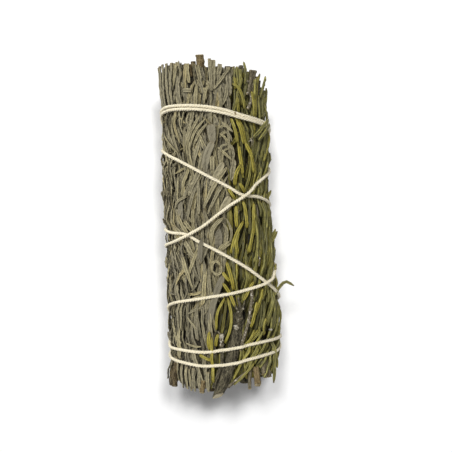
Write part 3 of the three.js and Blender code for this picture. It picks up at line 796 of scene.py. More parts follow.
# Leaves that the photograph shows singly: pixel points from root to tip, width in mm, depth, outline, tint
FLAT_SAGE = [
    ([(211.5, 90), (210.3, 74), (209, 58.5)], 1.1, -0.3, "cut", 0.4),
    ([(212.5, 88), (213, 74), (212.6, 60)], 1.7, -0.1, "cut", 0.5),
    ([(217, 78), (219.5, 70), (220, 64)], 1.5, 0.3, "cut", 0.45),
    ([(214.5, 88), (222.5, 77), (229.6, 66.8)], 0.9, -0.5, "blunt", 0.5),
    ([(170, 92), (169, 78), (168.2, 65.6)], 1.3, 0.1, "cut", 0.55),
    ([(223, 104), (226.5, 92), (225.5, 84)], 1.2, 0.0, "narrow", 0.4),
    ([(203, 104), (206, 90), (209, 84)], 1.0, -0.1, "narrow", 0.75),
    ([(194.5, 108), (195.5, 96), (197, 84)], 1.4, 0.0, "narrow", 0.72),
    ([(212.5, 143), (211.5, 133), (211, 124)], 2.6, -0.1, "round", -0.12),
    ([(204.5, 172), (207, 155), (212.8, 141.5)], 2.3, 0.1, "blunt", -0.06),
    ([(212.5, 174), (212.3, 165), (212.2, 155.8)], 1.5, 0.1, "round", 0.6),
    ([(210, 186), (216.5, 174), (223.6, 162.3)], 1.9, 0.0, "round", 0.66),
    ([(203, 208), (214, 186), (226.8, 167.2)], 1.3, 0.0, "round", 0.6),
    ([(207, 214), (217, 194), (229, 174)], 1.0, 0.2, "narrow", 0.5),
    ([(232, 180), (233, 170), (234, 159.5)], 1.7, 0.2, "round", 0.4),
    ([(220, 214), (225, 205), (229.5, 196.5)], 2.3, -0.2, "blunt", 0.72),
    ([(224, 212), (229.5, 206), (233.5, 199)], 1.6, 0.0, "round", 0.6),
    ([(178, 224), (180.5, 211), (180.5, 198)], 2.3, 0.5, "narrow", -0.15),
    ([(172.5, 209), (178, 201), (187, 196.8)], 1.0, -0.2, "narrow", 0.55),
    ([(197.5, 214), (198.5, 196), (199, 179)], 1.5, 0.1, "narrow", 0.42),
    ([(192.5, 233), (189, 227), (185.5, 221)], 1.7, 0.0, "cut", 0.8),
    ([(211.5, 243), (213, 230), (223, 218.5)], 1.0, 0.0, "narrow", 0.6),
    ([(218.6, 249), (218.4, 239), (219.3, 228.5)], 2.6, 0.9, "narrow", -0.28),
    ([(217, 251), (223, 245), (230, 241)], 0.9, -0.1, "narrow", 0.7),
    ([(219, 252), (225, 247), (231, 243)], 0.9, 0.0, "narrow", 0.75),
    ([(208, 328), (212.5, 306), (217.5, 289), (223.5, 275)], 2.2, 0.2, "blunt", -0.24),
    ([(220.5, 166), (219, 154), (221.5, 146.5), (228, 144.5)], 0.9, 0.0, "narrow", 0.55),
    ([(228, 144), (232, 147), (233.5, 154), (232.5, 162)], 1.0, 0.1, "narrow", 0.5),
    ([(223, 168), (222, 157), (224.5, 150), (229, 149.5)], 0.7, 0.3, "narrow", 0.7),
    ([(219.5, 137), (222.5, 133), (227, 132.5)], 0.8, 0.1, "narrow", 0.75),
    ([(219, 128), (223, 125.5), (229.5, 126.5)], 0.8, 0.1, "narrow", 0.6),
    ([(229, 143), (224.5, 137), (219.5, 133.5)], 0.8, 0.0, "narrow", 0.8),
    ([(233, 141), (229, 134.5), (224, 130.5)], 0.8, 0.0, "narrow", 0.5),
    ([(210.5, 246), (211, 232), (216, 223), (224, 217)], 1.0, 0.1, "narrow", 0.65),
    ([(224, 247), (227, 238), (226.5, 229), (222.5, 223)], 1.0, 0.1, "narrow", 0.5),
    ([(230, 243), (231.5, 233), (229, 224), (226, 218)], 0.9, 0.1, "narrow", 0.6),
    ([(185, 147), (191, 131), (200, 115.5)], 1.1, 0.0, "narrow", 0.62),
    ([(188, 148), (195, 131), (206, 118)], 1.0, 0.0, "narrow", 0.7),
    ([(183, 146), (188, 132), (194, 117)], 1.0, 0.1, "narrow", 0.5),
    ([(192, 146), (199, 133), (208, 122)], 0.9, 0.1, "narrow", 0.66),
    ([(218, 147), (224.5, 153), (232, 160.5)], 0.9, -0.1, "narrow", 0.72),
    ([(222.5, 122), (227.5, 127), (233, 132)], 1.0, 0.0, "narrow", 0.62),
    ([(181.3, 90), (186, 90), (191.5, 90.5)], 1.3, -0.1, "cut", 0.5),
    ([(180, 74), (179.3, 67), (178.8, 60.5)], 1.0, 0.3, "narrow", 0.45),
    ([(188, 82), (187.5, 72), (187.5, 63.5)], 1.7, 0.2, "cut", 0.85),
    ([(211.8, 273), (212, 265), (217, 261.5), (220.6, 266)], 0.9, -0.8, "narrow", 0.78),
    ([(220.9, 263), (221, 271), (216, 274.3), (211.8, 270)], 0.85, -0.7, "narrow", 0.7),
    ([(181, 388), (181.5, 377), (182, 366)], 1.1, 0.0, "cut", 0.4),
    ([(185.5, 389.5), (186, 377), (187, 367)], 1.3, 0.0, "cut", 0.65),
    ([(189.5, 391.5), (190, 381), (189.5, 369)], 1.0, 0.1, "cut", 0.6),
    ([(193.5, 392), (193.5, 380), (193.8, 368)], 1.1, 0.0, "cut", 0.4),
    ([(198.5, 391), (198.8, 382), (200, 371)], 1.3, 0.2, "cut", 0.45),
    ([(207.5, 392.5), (207.5, 383), (208, 372)], 1.2, 0.1, "cut", 0.5),
]
# The sage leaf that a strand dives under: pixel points, width in mm, tint
OVER_STRING = ([(199.5, 262), (200, 249), (201.8, 238)], 1.7, -0.33)
# Needles, in the same way: pixel points from root to tip, width in mm, depth, tint
BRIGHT_NEEDLES = [
    ([(239.5, 84), (238.4, 75), (236.6, 66.5)], 1.7, -0.1, 0.34),
    ([(241.5, 84), (241.2, 77), (240, 69)], 1.2, 0.0, 0.3),
    ([(246.1, 108), (243.2, 97.2), (238, 87.6), (232.3, 83.8)], 1.15, -0.1, 0.66),
    ([(240.3, 90), (240.5, 84), (241.9, 77.6)], 0.9, 0.0, 0.5),
    ([(246.9, 84), (245.8, 72), (243.6, 61.8)], 0.95, -0.1, 0.12),
    ([(256.1, 115.5), (253.4, 100), (251.4, 91.3)], 1.1, -0.2, 0.75),
    ([(256, 106), (255.5, 92), (254, 80)], 1.3, 0.2, 0.5),
    ([(262.5, 97), (263.8, 86), (265.4, 76.5)], 1.2, 0.0, 0.4),
    ([(264.5, 117), (268, 103), (269.2, 88)], 1.3, 0.1, 0.35),
    ([(238.5, 142), (235, 130), (230.6, 118.5)], 1.3, 0.0, 0.7),
    ([(245, 143), (241, 131), (236.5, 121)], 1.3, 0.0, 0.85),
    ([(255.8, 172), (251.5, 156), (245, 142.5)], 1.4, -0.1, 0.95),
    ([(244, 174), (240.5, 159), (238.3, 146)], 1.4, -0.1, 1.0),
    ([(236, 185), (236.2, 175), (240.4, 164.5)], 1.5, -0.1, 0.85),
    ([(236.5, 200.5), (232.5, 195), (227.8, 188.2)], 1.2, 0.0, 0.8),
    ([(246, 192), (242.5, 187.5), (239.3, 183.2)], 1.3, 0.0, 0.8),
    ([(238, 227), (236.4, 217), (235.8, 206)], 1.4, -0.1, 0.85),
    ([(248.5, 228), (246, 214), (242.3, 200.5)], 1.3, 0.0, 0.85),
    ([(255, 234), (254, 218), (253.4, 203)], 1.3, -0.1, 0.8),
    ([(231.3, 253), (236, 236), (243.3, 221)], 1.4, -0.1, 0.85),
    ([(238, 254), (236.5, 243), (238.5, 232)], 1.2, 0.0, 0.8),
    ([(251, 252), (251.5, 240), (253, 230.5)], 1.2, -0.1, 0.85),
    ([(229.5, 281), (226, 277), (222.6, 272.2)], 1.3, -0.1, 0.9),
    ([(235.8, 307), (229.5, 293), (222.6, 283)], 1.3, -0.1, 0.85),
    ([(234, 290), (231, 276), (226.5, 262)], 1.4, 0.0, 0.9),
    ([(215.7, 330), (217, 314), (224.8, 297.5)], 1.0, -0.3, 0.8),
    ([(225, 343.5), (230.6, 328), (231.4, 315), (227.5, 297.5)], 1.1, -0.3, 0.75),
    ([(244.5, 301), (248.5, 291), (253.8, 281.2)], 1.2, 0.0, 0.85),
    ([(252.3, 327.3), (254.8, 315), (256.8, 301.8)], 1.3, -0.3, 0.9),
    ([(256.5, 316), (260, 302), (262.6, 288.5)], 1.3, -0.1, 0.85),
    ([(208.5, 350), (208.3, 341), (209.4, 331.5)], 1.4, -0.3, 0.9),
    ([(212.8, 383), (211.6, 360), (211.8, 337)], 1.2, -0.2, 0.8),
    ([(215.3, 346.5), (216.2, 340), (218, 334)], 1.2, -0.2, 0.85),
    ([(210.5, 361), (205, 358), (199.4, 354.7)], 1.2, -0.2, 0.8),
    ([(246.8, 350), (250.7, 339), (254.6, 329.6)], 0.85, -0.2, 0.75),
    ([(251.8, 342.9), (256, 336.5), (259.6, 330.7)], 0.8, -0.1, 0.6),
    ([(241.5, 351), (249.5, 340), (258.5, 329)], 0.75, 0.0, 0.7),
    ([(254, 349), (258.5, 340), (262.8, 331)], 0.75, -0.1, 0.5),
    ([(234, 379.4), (241, 364), (250.9, 348)], 0.85, -0.1, 0.7),
    ([(234.5, 385.5), (245.5, 374), (254, 362.5)], 0.85, 0.0, 0.6),
    ([(240, 382), (247, 372), (252.5, 360)], 0.7, 0.1, 0.4),
    ([(241.5, 367.5), (247, 354), (252.8, 341)], 0.8, -0.1, 0.55),
    ([(245.3, 371), (253, 355), (260.3, 340)], 0.8, 0.0, 0.5),
    ([(249.5, 366), (254.5, 357), (258.5, 348)], 0.75, 0.0, 0.6),
    ([(256.5, 363.8), (261, 352), (266.5, 340)], 0.8, 0.0, 0.45),
    ([(262, 368), (266, 359), (268.5, 350)], 0.8, 0.0, 0.3),
    ([(262, 350), (259.5, 338), (259, 326)], 0.8, 0.0, 0.5),
    ([(265.5, 335), (264.5, 326), (266, 318)], 1.0, 0.0, 0.7),
    ([(236.8, 88), (235.6, 82.4), (233.6, 77.2)], 1.0, 0.0, 0.75),
    ([(255.7, 94), (255.8, 86), (255.3, 78.8)], 1.0, 0.0, 0.45),
    ([(240, 112), (238, 104), (236.5, 97.2)], 1.1, 0.1, 0.7),
]
NEEDLE_WIDTH = 0.84  # how wide these needles are made, as a share of the width read
NEEDLES_OVER_STRING = [
    ([(256, 137), (262, 129), (268.2, 119.5)], 1.2, 0.4), ([(262, 140), (266, 132), (269, 124)], 1.2, 0.35),
]
BARE_LINES = [  # pixel points along which no random needle grows
    [(251, 110), (250.5, 90), (251, 72)], [(247, 110), (246.5, 90), (247, 76)],
    [(242, 350), (248, 325), (252, 292)], [(222, 362), (222, 346), (221.5, 334)],
    [(222, 330), (225, 315), (226, 300)],
]
# Leaves at the outline: places (angle, y, height above the model's envelope), and width in mm
STRAYS = {
    "rosemary_sprig_2_leaves": [([(30, 36, -3), (30, 42, -0.6), (27, 45.8, 0.6)], 1.1)],
    "rosemary_sprig_3_leaves": [
        ([(24, -25, -3), (19, -21.6, -0.1), (15, -17.9, 3.6), (13.5, -19.3, 5.9)], 1.15),
        ([(16, -9.5, -2), (16, -5.8, 0.3), (17, -2.3, 2.7)], 1.15),
        ([(10, -8.8, -2), (12, -5, 0.2), (13, -1.6, 2)], 1.15),
        ([(12, 5, -2), (13, 8, 0.2), (14, 10.4, 1.7)], 1.15),
        ([(28, -34, -1.5), (28, -38, 0.6), (29, -43, 1.1), (29.6, -48.1, 1.5)], 1.25),
        ([(28, -37, 0.3), (26, -40.5, 1.1), (24.3, -43.8, 1.4)], 1.0),
    ],
    "sage_sprig_2_leaves": [
        ([(150, 37, -0.2), (149, 43, 0.6), (147, 49.7, 0.8)], 1.6),
        ([(144, 36, 0), (143, 43, 0.7), (140, 49.5, 0.6)], 1.4),
    ],
    "sage_sprig_3_leaves": [
        ([(166, 36, -0.3), (163, 43, 0.7), (160, 49.7, 1.1)], 1.9),
        ([(173, 36, -0.2), (171, 43, 0.7), (168, 49.8, 1.0)], 1.8),
        ([(159, 36, -0.2), (156, 43, 0.7), (153.5, 49.8, 1.0)], 1.6),
        ([(179, 34, -0.2), (178, 41, 0.5), (177, 48.5, 0.7)], 1.6),
        ([(177, -37, -0.4), (178, -32, 0.4), (178, -26.6, 0.2)], 1.5),
        ([(172, -35, -0.2), (175, -30, 0.6), (176, -26.2, 0.3)], 1.3),
    ],
}
FELTED = 100  # a leaf whose seed is above this is smooth and felted
FELTED_FROM = 1.8  # the width in mm above which a sage leaf that the photograph shows is felted


def add_one(name, line, outward, widths, roll, thick, curl, groove, tint, shade, seed):
    """Adds one leaf to a node."""
    each = [np.array([value]) for value in (thick, curl, groove, tint)]
    grown[name].add(line[None], outward[None], widths[None], roll[None], *each, shade + 0 * widths[None],
                    np.array([seed]))


def lay_seen(points, width, depth, outline, tint, rise=0.9, felted=False):
    """Lays one leaf along pixel points of the photograph, with its root sunk among the others."""
    random = np.random.default_rng(int(points[0][0] * 31 + points[0][1] * 7))
    t = STATIONS
    angles, ys = (resampled(line[None], t[None])[0] for line in seen_line(points, depth))
    radius = on_grid(smooth_grid, angles, ys) - depth - rise * (1 - t) ** 2
    line = polar(angles, ys, radius)
    roll = np.radians(random.normal(0, 7) + random.normal(0, 10) * (t - 0.5))
    needle = outline == "needle"
    name = owner(angles[LEAF_STATIONS // 2], ys[LEAF_STATIONS // 2])
    if needle != ("rosemary" in name):
        border = float(along(BORDER, ys[LEAF_STATIONS // 2]))
        name = owner(border - 2 if needle else border + 2, ys[LEAF_STATIONS // 2])
    curl = 0.7 if needle else random.uniform(0.1, 0.35)
    groove = 0.45 if needle else random.uniform(0.15, 0.35)
    seed = random.uniform(0, 60) + FELTED * felted
    # A tint below 0 also darkens the leaf: partly its own darker tone, partly painted shade
    add_one(name, line, polar(angles, ys, radius + 1) - line, width / 2 * along(OUTLINES[outline], t), roll,
            0.6 if needle else 0.34, curl, groove, tint, 1.03 + min(tint, 0), seed)


def grow_seen():
    for points, width, depth, outline, tint in FLAT_SAGE:
        lay_seen(points, width, depth - 0.35, outline, tint, felted=width > FELTED_FROM)
    for points, width, depth, tint in BRIGHT_NEEDLES:
        lay_seen(points, width * NEEDLE_WIDTH, depth - 0.35, "needle", tint)
    points, width, tint = OVER_STRING
    lay_seen(points, width, -1.3, "narrow", tint, 1.2, True)
    for points, width, tint in NEEDLES_OVER_STRING:
        lay_seen(points, width, -1.2, "needle", tint, 1.2)


def grow_strays():
    random = np.random.default_rng(120)
    for name, leaves in STRAYS.items():
        needle = "rosemary" in name
        outline, thick, curl = ("needle", 0.6, 0.7) if needle else ("cut", 0.35, 0.3)
        for places, width in leaves:
            places = evenly(catmull_rom(places, 12), 0.1)
            line, outward = on_envelope(places[np.linspace(0, len(places) - 1, LEAF_STATIONS).astype(int)])
            if needle:
                outward = np.array([0.25, 0.1, 1.0]) + 0 * line
            widths = width / 2 * along(OUTLINES[outline], STATIONS)
            add_one(name, line, outward, widths, 0 * widths, thick, curl, 0.35, random.uniform(0.3, 0.5), 1.0,
                    random.uniform(0, 60))


def places_taken(lines):
    return np.vstack([flat(*seen_line(points))[::4] for points in lines])


taken_by_leaves = places_taken([leaf[0] for leaf in FLAT_SAGE])
taken_by_needles = places_taken([*(needle[0] for needle in BRIGHT_NEEDLES), STEM_SHOWN, *BARE_LINES])
grow_sage()
grow_strays()
grow_crumbs()
grow_rosemary()
grow_ends()
grow_seen()


# Materials

def srgb(code):
    """A colour written as in a web page, in linear values."""
    parts = [int(code[i : i + 2], 16) / 255 for i in (0, 2, 4)]
    return [p / 12.92 if p <= 0.04045 else ((p + 0.055) / 1.055) ** 2.4 for p in parts]


def rgba(code):
    return (*srgb(code), 1)


class Nodes:
    """A short way to build a material's nodes."""

    def __init__(self, name):
        self.material = bpy.data.materials.new(name)
        self.material.use_nodes = True
        self.tree = self.material.node_tree
        self.shader = self.tree.nodes["Principled BSDF"]

    def add(self, kind, inputs=None, **settings):
        node = self.tree.nodes.new("ShaderNode" + kind)
        for key, value in settings.items():
            setattr(node, key, value)
        for key, value in (inputs or {}).items():
            self.put(node.inputs[key], value)
        return node

    def put(self, socket, value):
        if isinstance(value, bpy.types.NodeSocket):
            self.tree.links.new(value, socket)
        else:
            socket.default_value = value

    def read_mesh(self):
        """Reads what a mesh holds at each point: its look, and its place across and along with a seed."""
        look = self.add("Attribute", attribute_name="look")
        self.tint, self.edge, self.shade = self.add("SeparateColor", {0: look.outputs["Color"]}).outputs[:3]
        self.tip = look.outputs["Alpha"]
        self.strip = self.add("Attribute", attribute_name="strip").outputs["Vector"]

    def math(self, operation, a, b):
        return self.add("Math", {0: a, 1: b}, operation=operation).outputs[0]

    def blend(self, a, share_a, b, share_b):
        """Two values added in their shares."""
        return self.math("ADD", self.math("MULTIPLY", a, share_a), self.math("MULTIPLY", b, share_b))

    def scaled(self, vector, scale):
        return self.add("VectorMath", {0: vector, 1: scale}, operation="MULTIPLY").outputs[0]

    def noise(self, vector, scale, detail, roughness=0.6):
        vector = self.scaled(vector, scale)
        inputs = {"Vector": vector, "Scale": 1.0, "Detail": detail, "Roughness": roughness}
        return self.add("TexNoise", inputs).outputs["Fac"]

    def grain(self, across, lengthways, detail=3, roughness=0.6):
        """Noise with its scales across and along a leaf or twig."""
        return self.noise(self.strip, (across, lengthways, 1), detail, roughness)

    def ramp(self, value, stops):
        node = self.add("ValToRGB", {"Fac": value})
        elements = node.color_ramp.elements
        while len(elements) < len(stops):
            elements.new(0.5)
        for element, (place, code) in zip(elements, stops):
            element.position = place
            element.color = rgba(code)
        return node.outputs["Color"]

    def mix(self, share, a, b, blend="MIX"):
        return self.add("MixRGB", {"Fac": share, "Color1": a, "Color2": b}, blend_type=blend).outputs[0]

    def toned(self, colour, code, value, start, end, most, weight=1.0):
        """A colour mixed with another, from nothing where a value is start to most where it is end."""
        share = self.add("MapRange", {"Value": value, 1: start, 2: end, 3: 0.0, 4: most}).outputs[0]
        return self.mix(self.math("MULTIPLY", weight, share), colour, rgba(code))

    def bumps(self, *layers):
        """A surface normal from heights, each with its strength and how high it is in millimetres."""
        normal = None
        for height, strength, high in layers:
            node = self.add("Bump", {"Height": height, "Strength": strength, "Distance": high * MM})
            if normal is not None:
                self.put(node.inputs["Normal"], normal)
            normal = node.outputs[0]
        return normal

    def finish(self, colour, roughness, specular, normal=None, sheen=0.0):
        values = {"Base Color": colour, "Roughness": roughness, "Specular IOR Level": specular,
                  "Sheen Weight": sheen}
        for key, value in values.items():
            self.put(self.shader.inputs[key], value)
        if normal is not None:
            self.put(self.shader.inputs["Normal"], normal)
        return self.material


def sage_material():
    n = Nodes("sage_leaf")
    n.read_mesh()
    blotch = n.grain(0.8, 0.3, 4)
    streak = n.grain(2.6, 0.4, 3, 0.7)
    speckle = n.grain(2.4, 1.7, 3, 0.75)
    pebbles = n.add("TexVoronoi", {"Vector": n.scaled(n.strip, (3.4, 2.6, 1)), "Scale": 1.0})
    colour = n.ramp(n.blend(n.tint, 0.72, blotch, 0.3), [
        (0.0, "77715f"), (0.25, "8d866e"), (0.5, "9d9577"), (0.75, "ada37b"), (0.95, "bcaa76"),
    ])
    # Painted light and shade across each leaf: a darker crease in the middle, a light ridge to each side of
    # it, then a dark rim and a dark underside
    painted_light_across = n.ramp(n.edge, [
        (0.0, "9a9a9a"), (0.2, "d0d0d0"), (0.45, "d8d8d8"), (0.66, "f8f8f8"), (0.84, "f0f0f0"),
        (0.95, "707070"),
    ])
    colour = n.mix(1.0, colour, painted_light_across, "MULTIPLY")
    felt = n.math("GREATER_THAN", n.add("SeparateXYZ", {0: n.strip}).outputs[2], FELTED)
    plain = n.math("SUBTRACT", 1.0, n.math("MULTIPLY", felt, 0.6))
    colour = n.toned(colour, "d8cca4", speckle, 0.52, 0.72, 0.34, plain)
    colour = n.toned(colour, "4f4834", speckle, 0.48, 0.3, 0.44, plain)
    colour = n.toned(colour, "4c4531", streak, 0.5, 0.28, 0.55, plain)
    colour = n.toned(colour, "968f78", felt, 0.0, 1.0, 0.45)
    colour = n.toned(colour, "6d5836", n.tip, 0.9, 1.0, 0.3)
    # Painted shade: deep leaves and leaves in hollows are darkened
    colour = n.mix(1.0, colour, n.shade, "MULTIPLY")
    normal = n.bumps((streak, 0.8, 0.25), (speckle, 0.6, 0.2), (pebbles.outputs["Distance"], 0.4, 0.1))
    return n.finish(colour, 0.85, 0.2, normal, 0.1)


def rosemary_material():
    n = Nodes("rosemary_needle")
    n.read_mesh()
    streak = n.grain(3.5, 0.35)
    speckle = n.grain(2.6, 1.6, 3, 0.7)
    colour = n.ramp(n.blend(n.tint, 0.75, n.grain(0.6, 0.25), 0.25), [
        (0.0, "48462d"), (0.3, "605d37"), (0.52, "777238"), (0.75, "8c812d"), (0.95, "a09235"),
    ])
    # Painted shade: a dark line along the groove in the middle of each needle
    colour = n.toned(colour, "33301a", n.edge, 0.32, 0.0, 0.75)
    colour = n.toned(colour, "8d8a55", n.edge, 0.75, 1.0, 0.3)
    colour = n.toned(colour, "bdb45c", streak, 0.5, 0.72, 0.55)
    colour = n.toned(colour, "3a371c", speckle, 0.45, 0.3, 0.6)
    colour = n.toned(colour, "5b4526", n.tip, 0.93, 1.0, 0.5)
    # Painted shade: deep needles and needles in hollows are darkened
    colour = n.mix(1.0, colour, n.shade, "MULTIPLY")
    return n.finish(colour, 0.58, 0.35, n.bumps((streak, 0.6, 0.16), (speckle, 0.3, 0.1)))


def painted_shade_core_material():
    n = Nodes("packed_leaves")
    fibres = n.noise(n.add("TexCoord").outputs["Object"], (900, 120, 900), 4)
    # Painted shade: the packed inside is coloured much darker than the leaves, for the deep shade among them
    colour = n.ramp(fibres, [(0.3, "211d14"), (0.55, "3a3423"), (0.8, "554d36")])
    return n.finish(colour, 0.95, 0.1, n.bumps((fibres, 0.8, 0.4)))


def bark_material(name, dark, light, fleck, flecks_from=0.66, wood=("a8946a", "dccb9e")):
    """Furrowed bark with flecks on it, and the cut wood at its ends."""
    n = Nodes(name)
    n.read_mesh()
    furrow = n.grain(2.4, 0.45, 5, 0.8)
    fine = n.grain(5.0, 2.2)
    colour = n.ramp(n.blend(furrow, 0.7, fine, 0.3), [(0.43, dark), (0.59, light)])
    colour = n.toned(colour, fleck, n.grain(1.1, 0.8, 2), flecks_from, flecks_from + 0.08, 0.75)
    colour = n.mix(n.edge, colour, n.ramp(n.grain(4, 4), [(0.3, wood[0]), (0.7, wood[1])]))
    return n.finish(colour, 0.85, 0.2, n.bumps((furrow, 1.0, 0.6), (fine, 0.5, 0.15)))


def cotton_material():
    n = Nodes("cotton")
    n.read_mesh()
    fibres = n.grain(9, 1.3, 4, 0.7)
    colour = n.ramp(fibres, [(0.25, "c4baa0"), (0.5, "dfd6bb"), (0.7, "efe8d2")])
    colour = n.toned(colour, "c3b894", n.grain(0.4, 0.25, 2), 0.52, 0.75, 0.45)
    return n.finish(colour, 0.9, 0.2, n.bumps((fibres, 0.6, 0.08)), 0.15)


SAGE = sage_material()
ROSEMARY = rosemary_material()
PAINTED_SHADE_CORE = painted_shade_core_material()
SAGE_BARK = bark_material("sage_bark", "2e2518", "76684b", "8f8363", wood=("7d6c4c", "a8966f"))
TAN_BARK = bark_material("tan_bark", "4f4029", "9c8a63", "b3a480")
ROSEMARY_BARK = bark_material("rosemary_bark", "221f17", "746d57", "978f79", wood=("c6b48a", "f0e6c6"))
GREY_BARK = bark_material("grey_bark", "4b4534", "958b71", "a69e86")
PALE_BARK = bark_material("pale_bark", "4a4231", "938a74", "d6cebc", 0.54)
SCAR = bark_material("pale_scar", "8f8874", "d2cbb8", "dfd9ca", 0.5)
COTTON = cotton_material()


# Leafy pieces

def dress(piece, node=None):
    """Fixes a piece to the body, and hides the node that it replaces, if any."""
    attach(piece, BODY)
    if node:
        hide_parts(node)


def packed_core(name):
    """The packed inside of a sprig, under its leaves, as rings of points. Its dark colour is painted shade.
    """
    number = int(name.split("_")[2])
    rings = []
    for y in np.linspace(-43, 44 if "sage_sprig" in name else 38, 46):
        if "middle" in name:
            rings.append(polar(180 * (number - 1) + np.linspace(0, 180, 12), y, MIDDLE_RADIUS - 0.3))
            continue
        if "sage" in name:
            first, last = sage_walls(y)[number - 1 : number + 1]
        else:
            walls = np.linspace(along(BORDER, y), LOWER_BORDER, ROSEMARY_SPRIGS + 1)
            last, first = walls[number - 1 : number + 1]
        arc = np.linspace(first, last, 15)
        depth = 3.6 + 0.5 * ripple(arc, y, 31, 9, (3, 12), 40)
        outer = polar(arc, y, on_grid(surface_grid, arc, y) - depth)
        rings.append(np.vstack([outer, polar([last, first], y, MIDDLE_RADIUS)]))
    return np.array(rings)


def make_leafy(name):
    leaves = grown[name]
    kind, slot, finish = "_foliage", "sage_leaf", SAGE
    if "rosemary" in name:
        kind, slot, finish = "_needles", "rosemary_needle", ROSEMARY
    points = np.vstack(leaves.points)
    sides = len(SECTION)
    starts = (np.arange(len(points)) * sides * LEAF_STATIONS)[:, None, None]
    one = ring_faces(LEAF_STATIONS, sides)
    faces = [*(np.array(one[:-2]) + starts).reshape(-1, 4), *(np.array(one[-2:]) + starts).reshape(-1, sides)]
    points = points.reshape(-1, 3)
    core = packed_core(name)
    core_faces = [tuple(len(points) + k for k in face) for face in ring_faces(*core.shape[:2])]
    core = core.reshape(-1, 3)
    look = np.vstack([np.vstack(leaves.look).reshape(-1, 4), np.zeros((len(core), 4))])
    strip = np.vstack([np.vstack(leaves.strip).reshape(-1, 3), core])
    piece_name = name.replace("_leaves", kind)
    mesh = new_mesh(piece_name, settle(np.vstack([points, core])), faces + core_faces, look, strip,
                    smooth=finish is ROSEMARY)
    piece = new_object(piece_name, mesh, [finish, PAINTED_SHADE_CORE])
    in_core = np.arange(len(mesh.polygons)) >= len(faces)
    mesh.polygons.foreach_set("material_index", in_core.astype(np.int32))
    dress(piece, name)


for node_name in LEAF_NODES:
    make_leafy(node_name)


# Tubes: stems and string

def tube(line, radii, sides, outward, strip_seed, knobs, furrows, seed):
    """Rings of points round a line, with their strip values, and the faces."""
    line = np.asarray(line, float)
    side, up = frames(line, outward)
    turn = np.linspace(0, 2 * math.pi, sides, endpoint=False)
    random = np.random.default_rng(seed)
    swell = 1 + knobs * random.normal(0, 1, (len(line), 1))
    ridges = np.sin(turn * random.integers(3, 6) + random.uniform(0, 6))
    rough = random.normal(0, 1, (len(line) + 4, sides))
    ridges = ridges + sum(rough[k : k + len(line)] for k in range(5)) / 2.8
    radius = np.asarray(radii, float)[:, None] * (swell + furrows * ridges)
    points = (
        line[:, None] + (radius * np.cos(turn))[..., None] * side[:, None]
        - (radius * np.sin(turn))[..., None] * up[:, None]
    )
    strip = stacked(turn * np.mean(radii), distances(line)[:, None], strip_seed)
    return points.reshape(-1, 3), strip.reshape(-1, 3), ring_faces(len(line), sides)


class Parts:
    """Joins several tubes into one mesh."""

    def __init__(self):
        self.points = []
        self.strip = []
        self.look = []
        self.faces = []
        self.count = 0

    def add(self, points, strip, faces, cut=0):
        """Adds a tube. So many of its first and last points show cut wood."""
        look = np.zeros((len(points), 4))
        look[:cut, 1] = 1
        look[len(points) - cut :, 1] = 1
        self.points.append(points)
        self.strip.append(strip)
        self.look.append(look)
        self.faces += [tuple(self.count + k for k in face) for face in faces]
        self.count += len(points)

    def make_piece(self, name, material, node=None):
        points = settle(np.vstack(self.points))
        mesh = new_mesh(name, points, self.faces, np.vstack(self.look), np.vstack(self.strip))
        dress(new_object(name, mesh, [material]), node)


def node_points(name):
    """A node's points, in millimetres about the bundle's axis."""
    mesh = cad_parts[name].data
    co = np.zeros(len(mesh.vertices) * 3)
    mesh.vertices.foreach_get("co", co)
    return co.reshape(-1, 3) / MM - [AXIS_X, 0, 0]


BEVELLED = 8  # how many of a tube's first rings its bevel and slant reach


def twig_with_cuts(parts, line, radii, sides, seed, furrows=0.07, knobs=0.03, bevel=0.0, slant=0.0):
    """A bark tube with pale wood at its cut ends. A bevel turns the first one up, and a slant sideways."""
    ends = [line[0] - 0.02 * (line[1] - line[0]), *line, line[-1] + 0.02 * (line[-1] - line[-2])]
    widths = [radii[0] * 0.93, *radii, radii[-1] * 0.93]
    points, strip, faces = tube(ends, widths, sides, (0, 0, 1), seed * 3.1, knobs, furrows, seed)
    for k in range(min(BEVELLED, len(line))):
        ring = points[k * sides : (k + 1) * sides]
        off = ring - ring.mean(0)
        ring[:, 1] += (1 - k / BEVELLED) * (bevel * off[:, 2] + slant * off[:, 0])
    parts.add(points, strip, faces, sides)


def make_stem(name, seed):
    """A sprig's own stem, along its solid."""
    points = node_points(name)
    y = points[:, 1]
    start, end = (points[np.abs(y - at) < 1.6].mean(0) for at in (y.min(), y.max()))
    sort, bark, thick = "sage", SAGE_BARK, 1.35
    if "rosemary" in name:
        sort, bark, thick = "rosemary", ROSEMARY_BARK, 1.3
    t = np.linspace(0, 1, 46)[:, None]
    wobble = 0.25 * np.sin(t * 11 + seed) * np.sin(math.pi * t)
    line = start + (end - start) * t + wobble * [1, 0, 0.6]
    parts = Parts()
    twig_with_cuts(parts, line, thick + (0.78 - thick) * t[:, 0], 10, seed)
    parts.make_piece(name.replace("_stem", "_twig"), bark, name)


# Where the woody rosemary stem goes on inside: (angle, y, height above the model's envelope)
WOODY_STEM_INSIDE = [
    (71, -24.4, -4.4), (66, -14, -5.9), (62, 0, -5.9), (56, 20, -5.9), (53, 33, -5.9), (52, 43.5, -5.6),
]
STEM_DEPTH = 0.95  # of its middle line below the model's envelope, where it is shown
STEM_DIVE = 0.7  # how much deeper it lies at the shown part's end
STEM_RADIUS = 1.78


def woody_stem_line():
    shown = np.array([(*seen_at(*p, 1.75), -STEM_DEPTH) for p in STEM_SHOWN])
    shown[-1, 2] -= STEM_DIVE
    return on_envelope(catmull_rom(np.vstack([shown, WOODY_STEM_INSIDE]), 10))[0]


def make_woody_stem():
    line = evenly(woody_stem_line(), 0.5)
    parts = Parts()
    radii = STEM_RADIUS - 0.35 * ramp(line[:, 1], -30, -25)
    twig_with_cuts(parts, line, radii, 26, 7, 0.075, 0.02, 0.65, 0.75)
    parts.make_piece("rosemary_sprig_1_twig", ROSEMARY_BARK, "rosemary_sprig_1_stem")


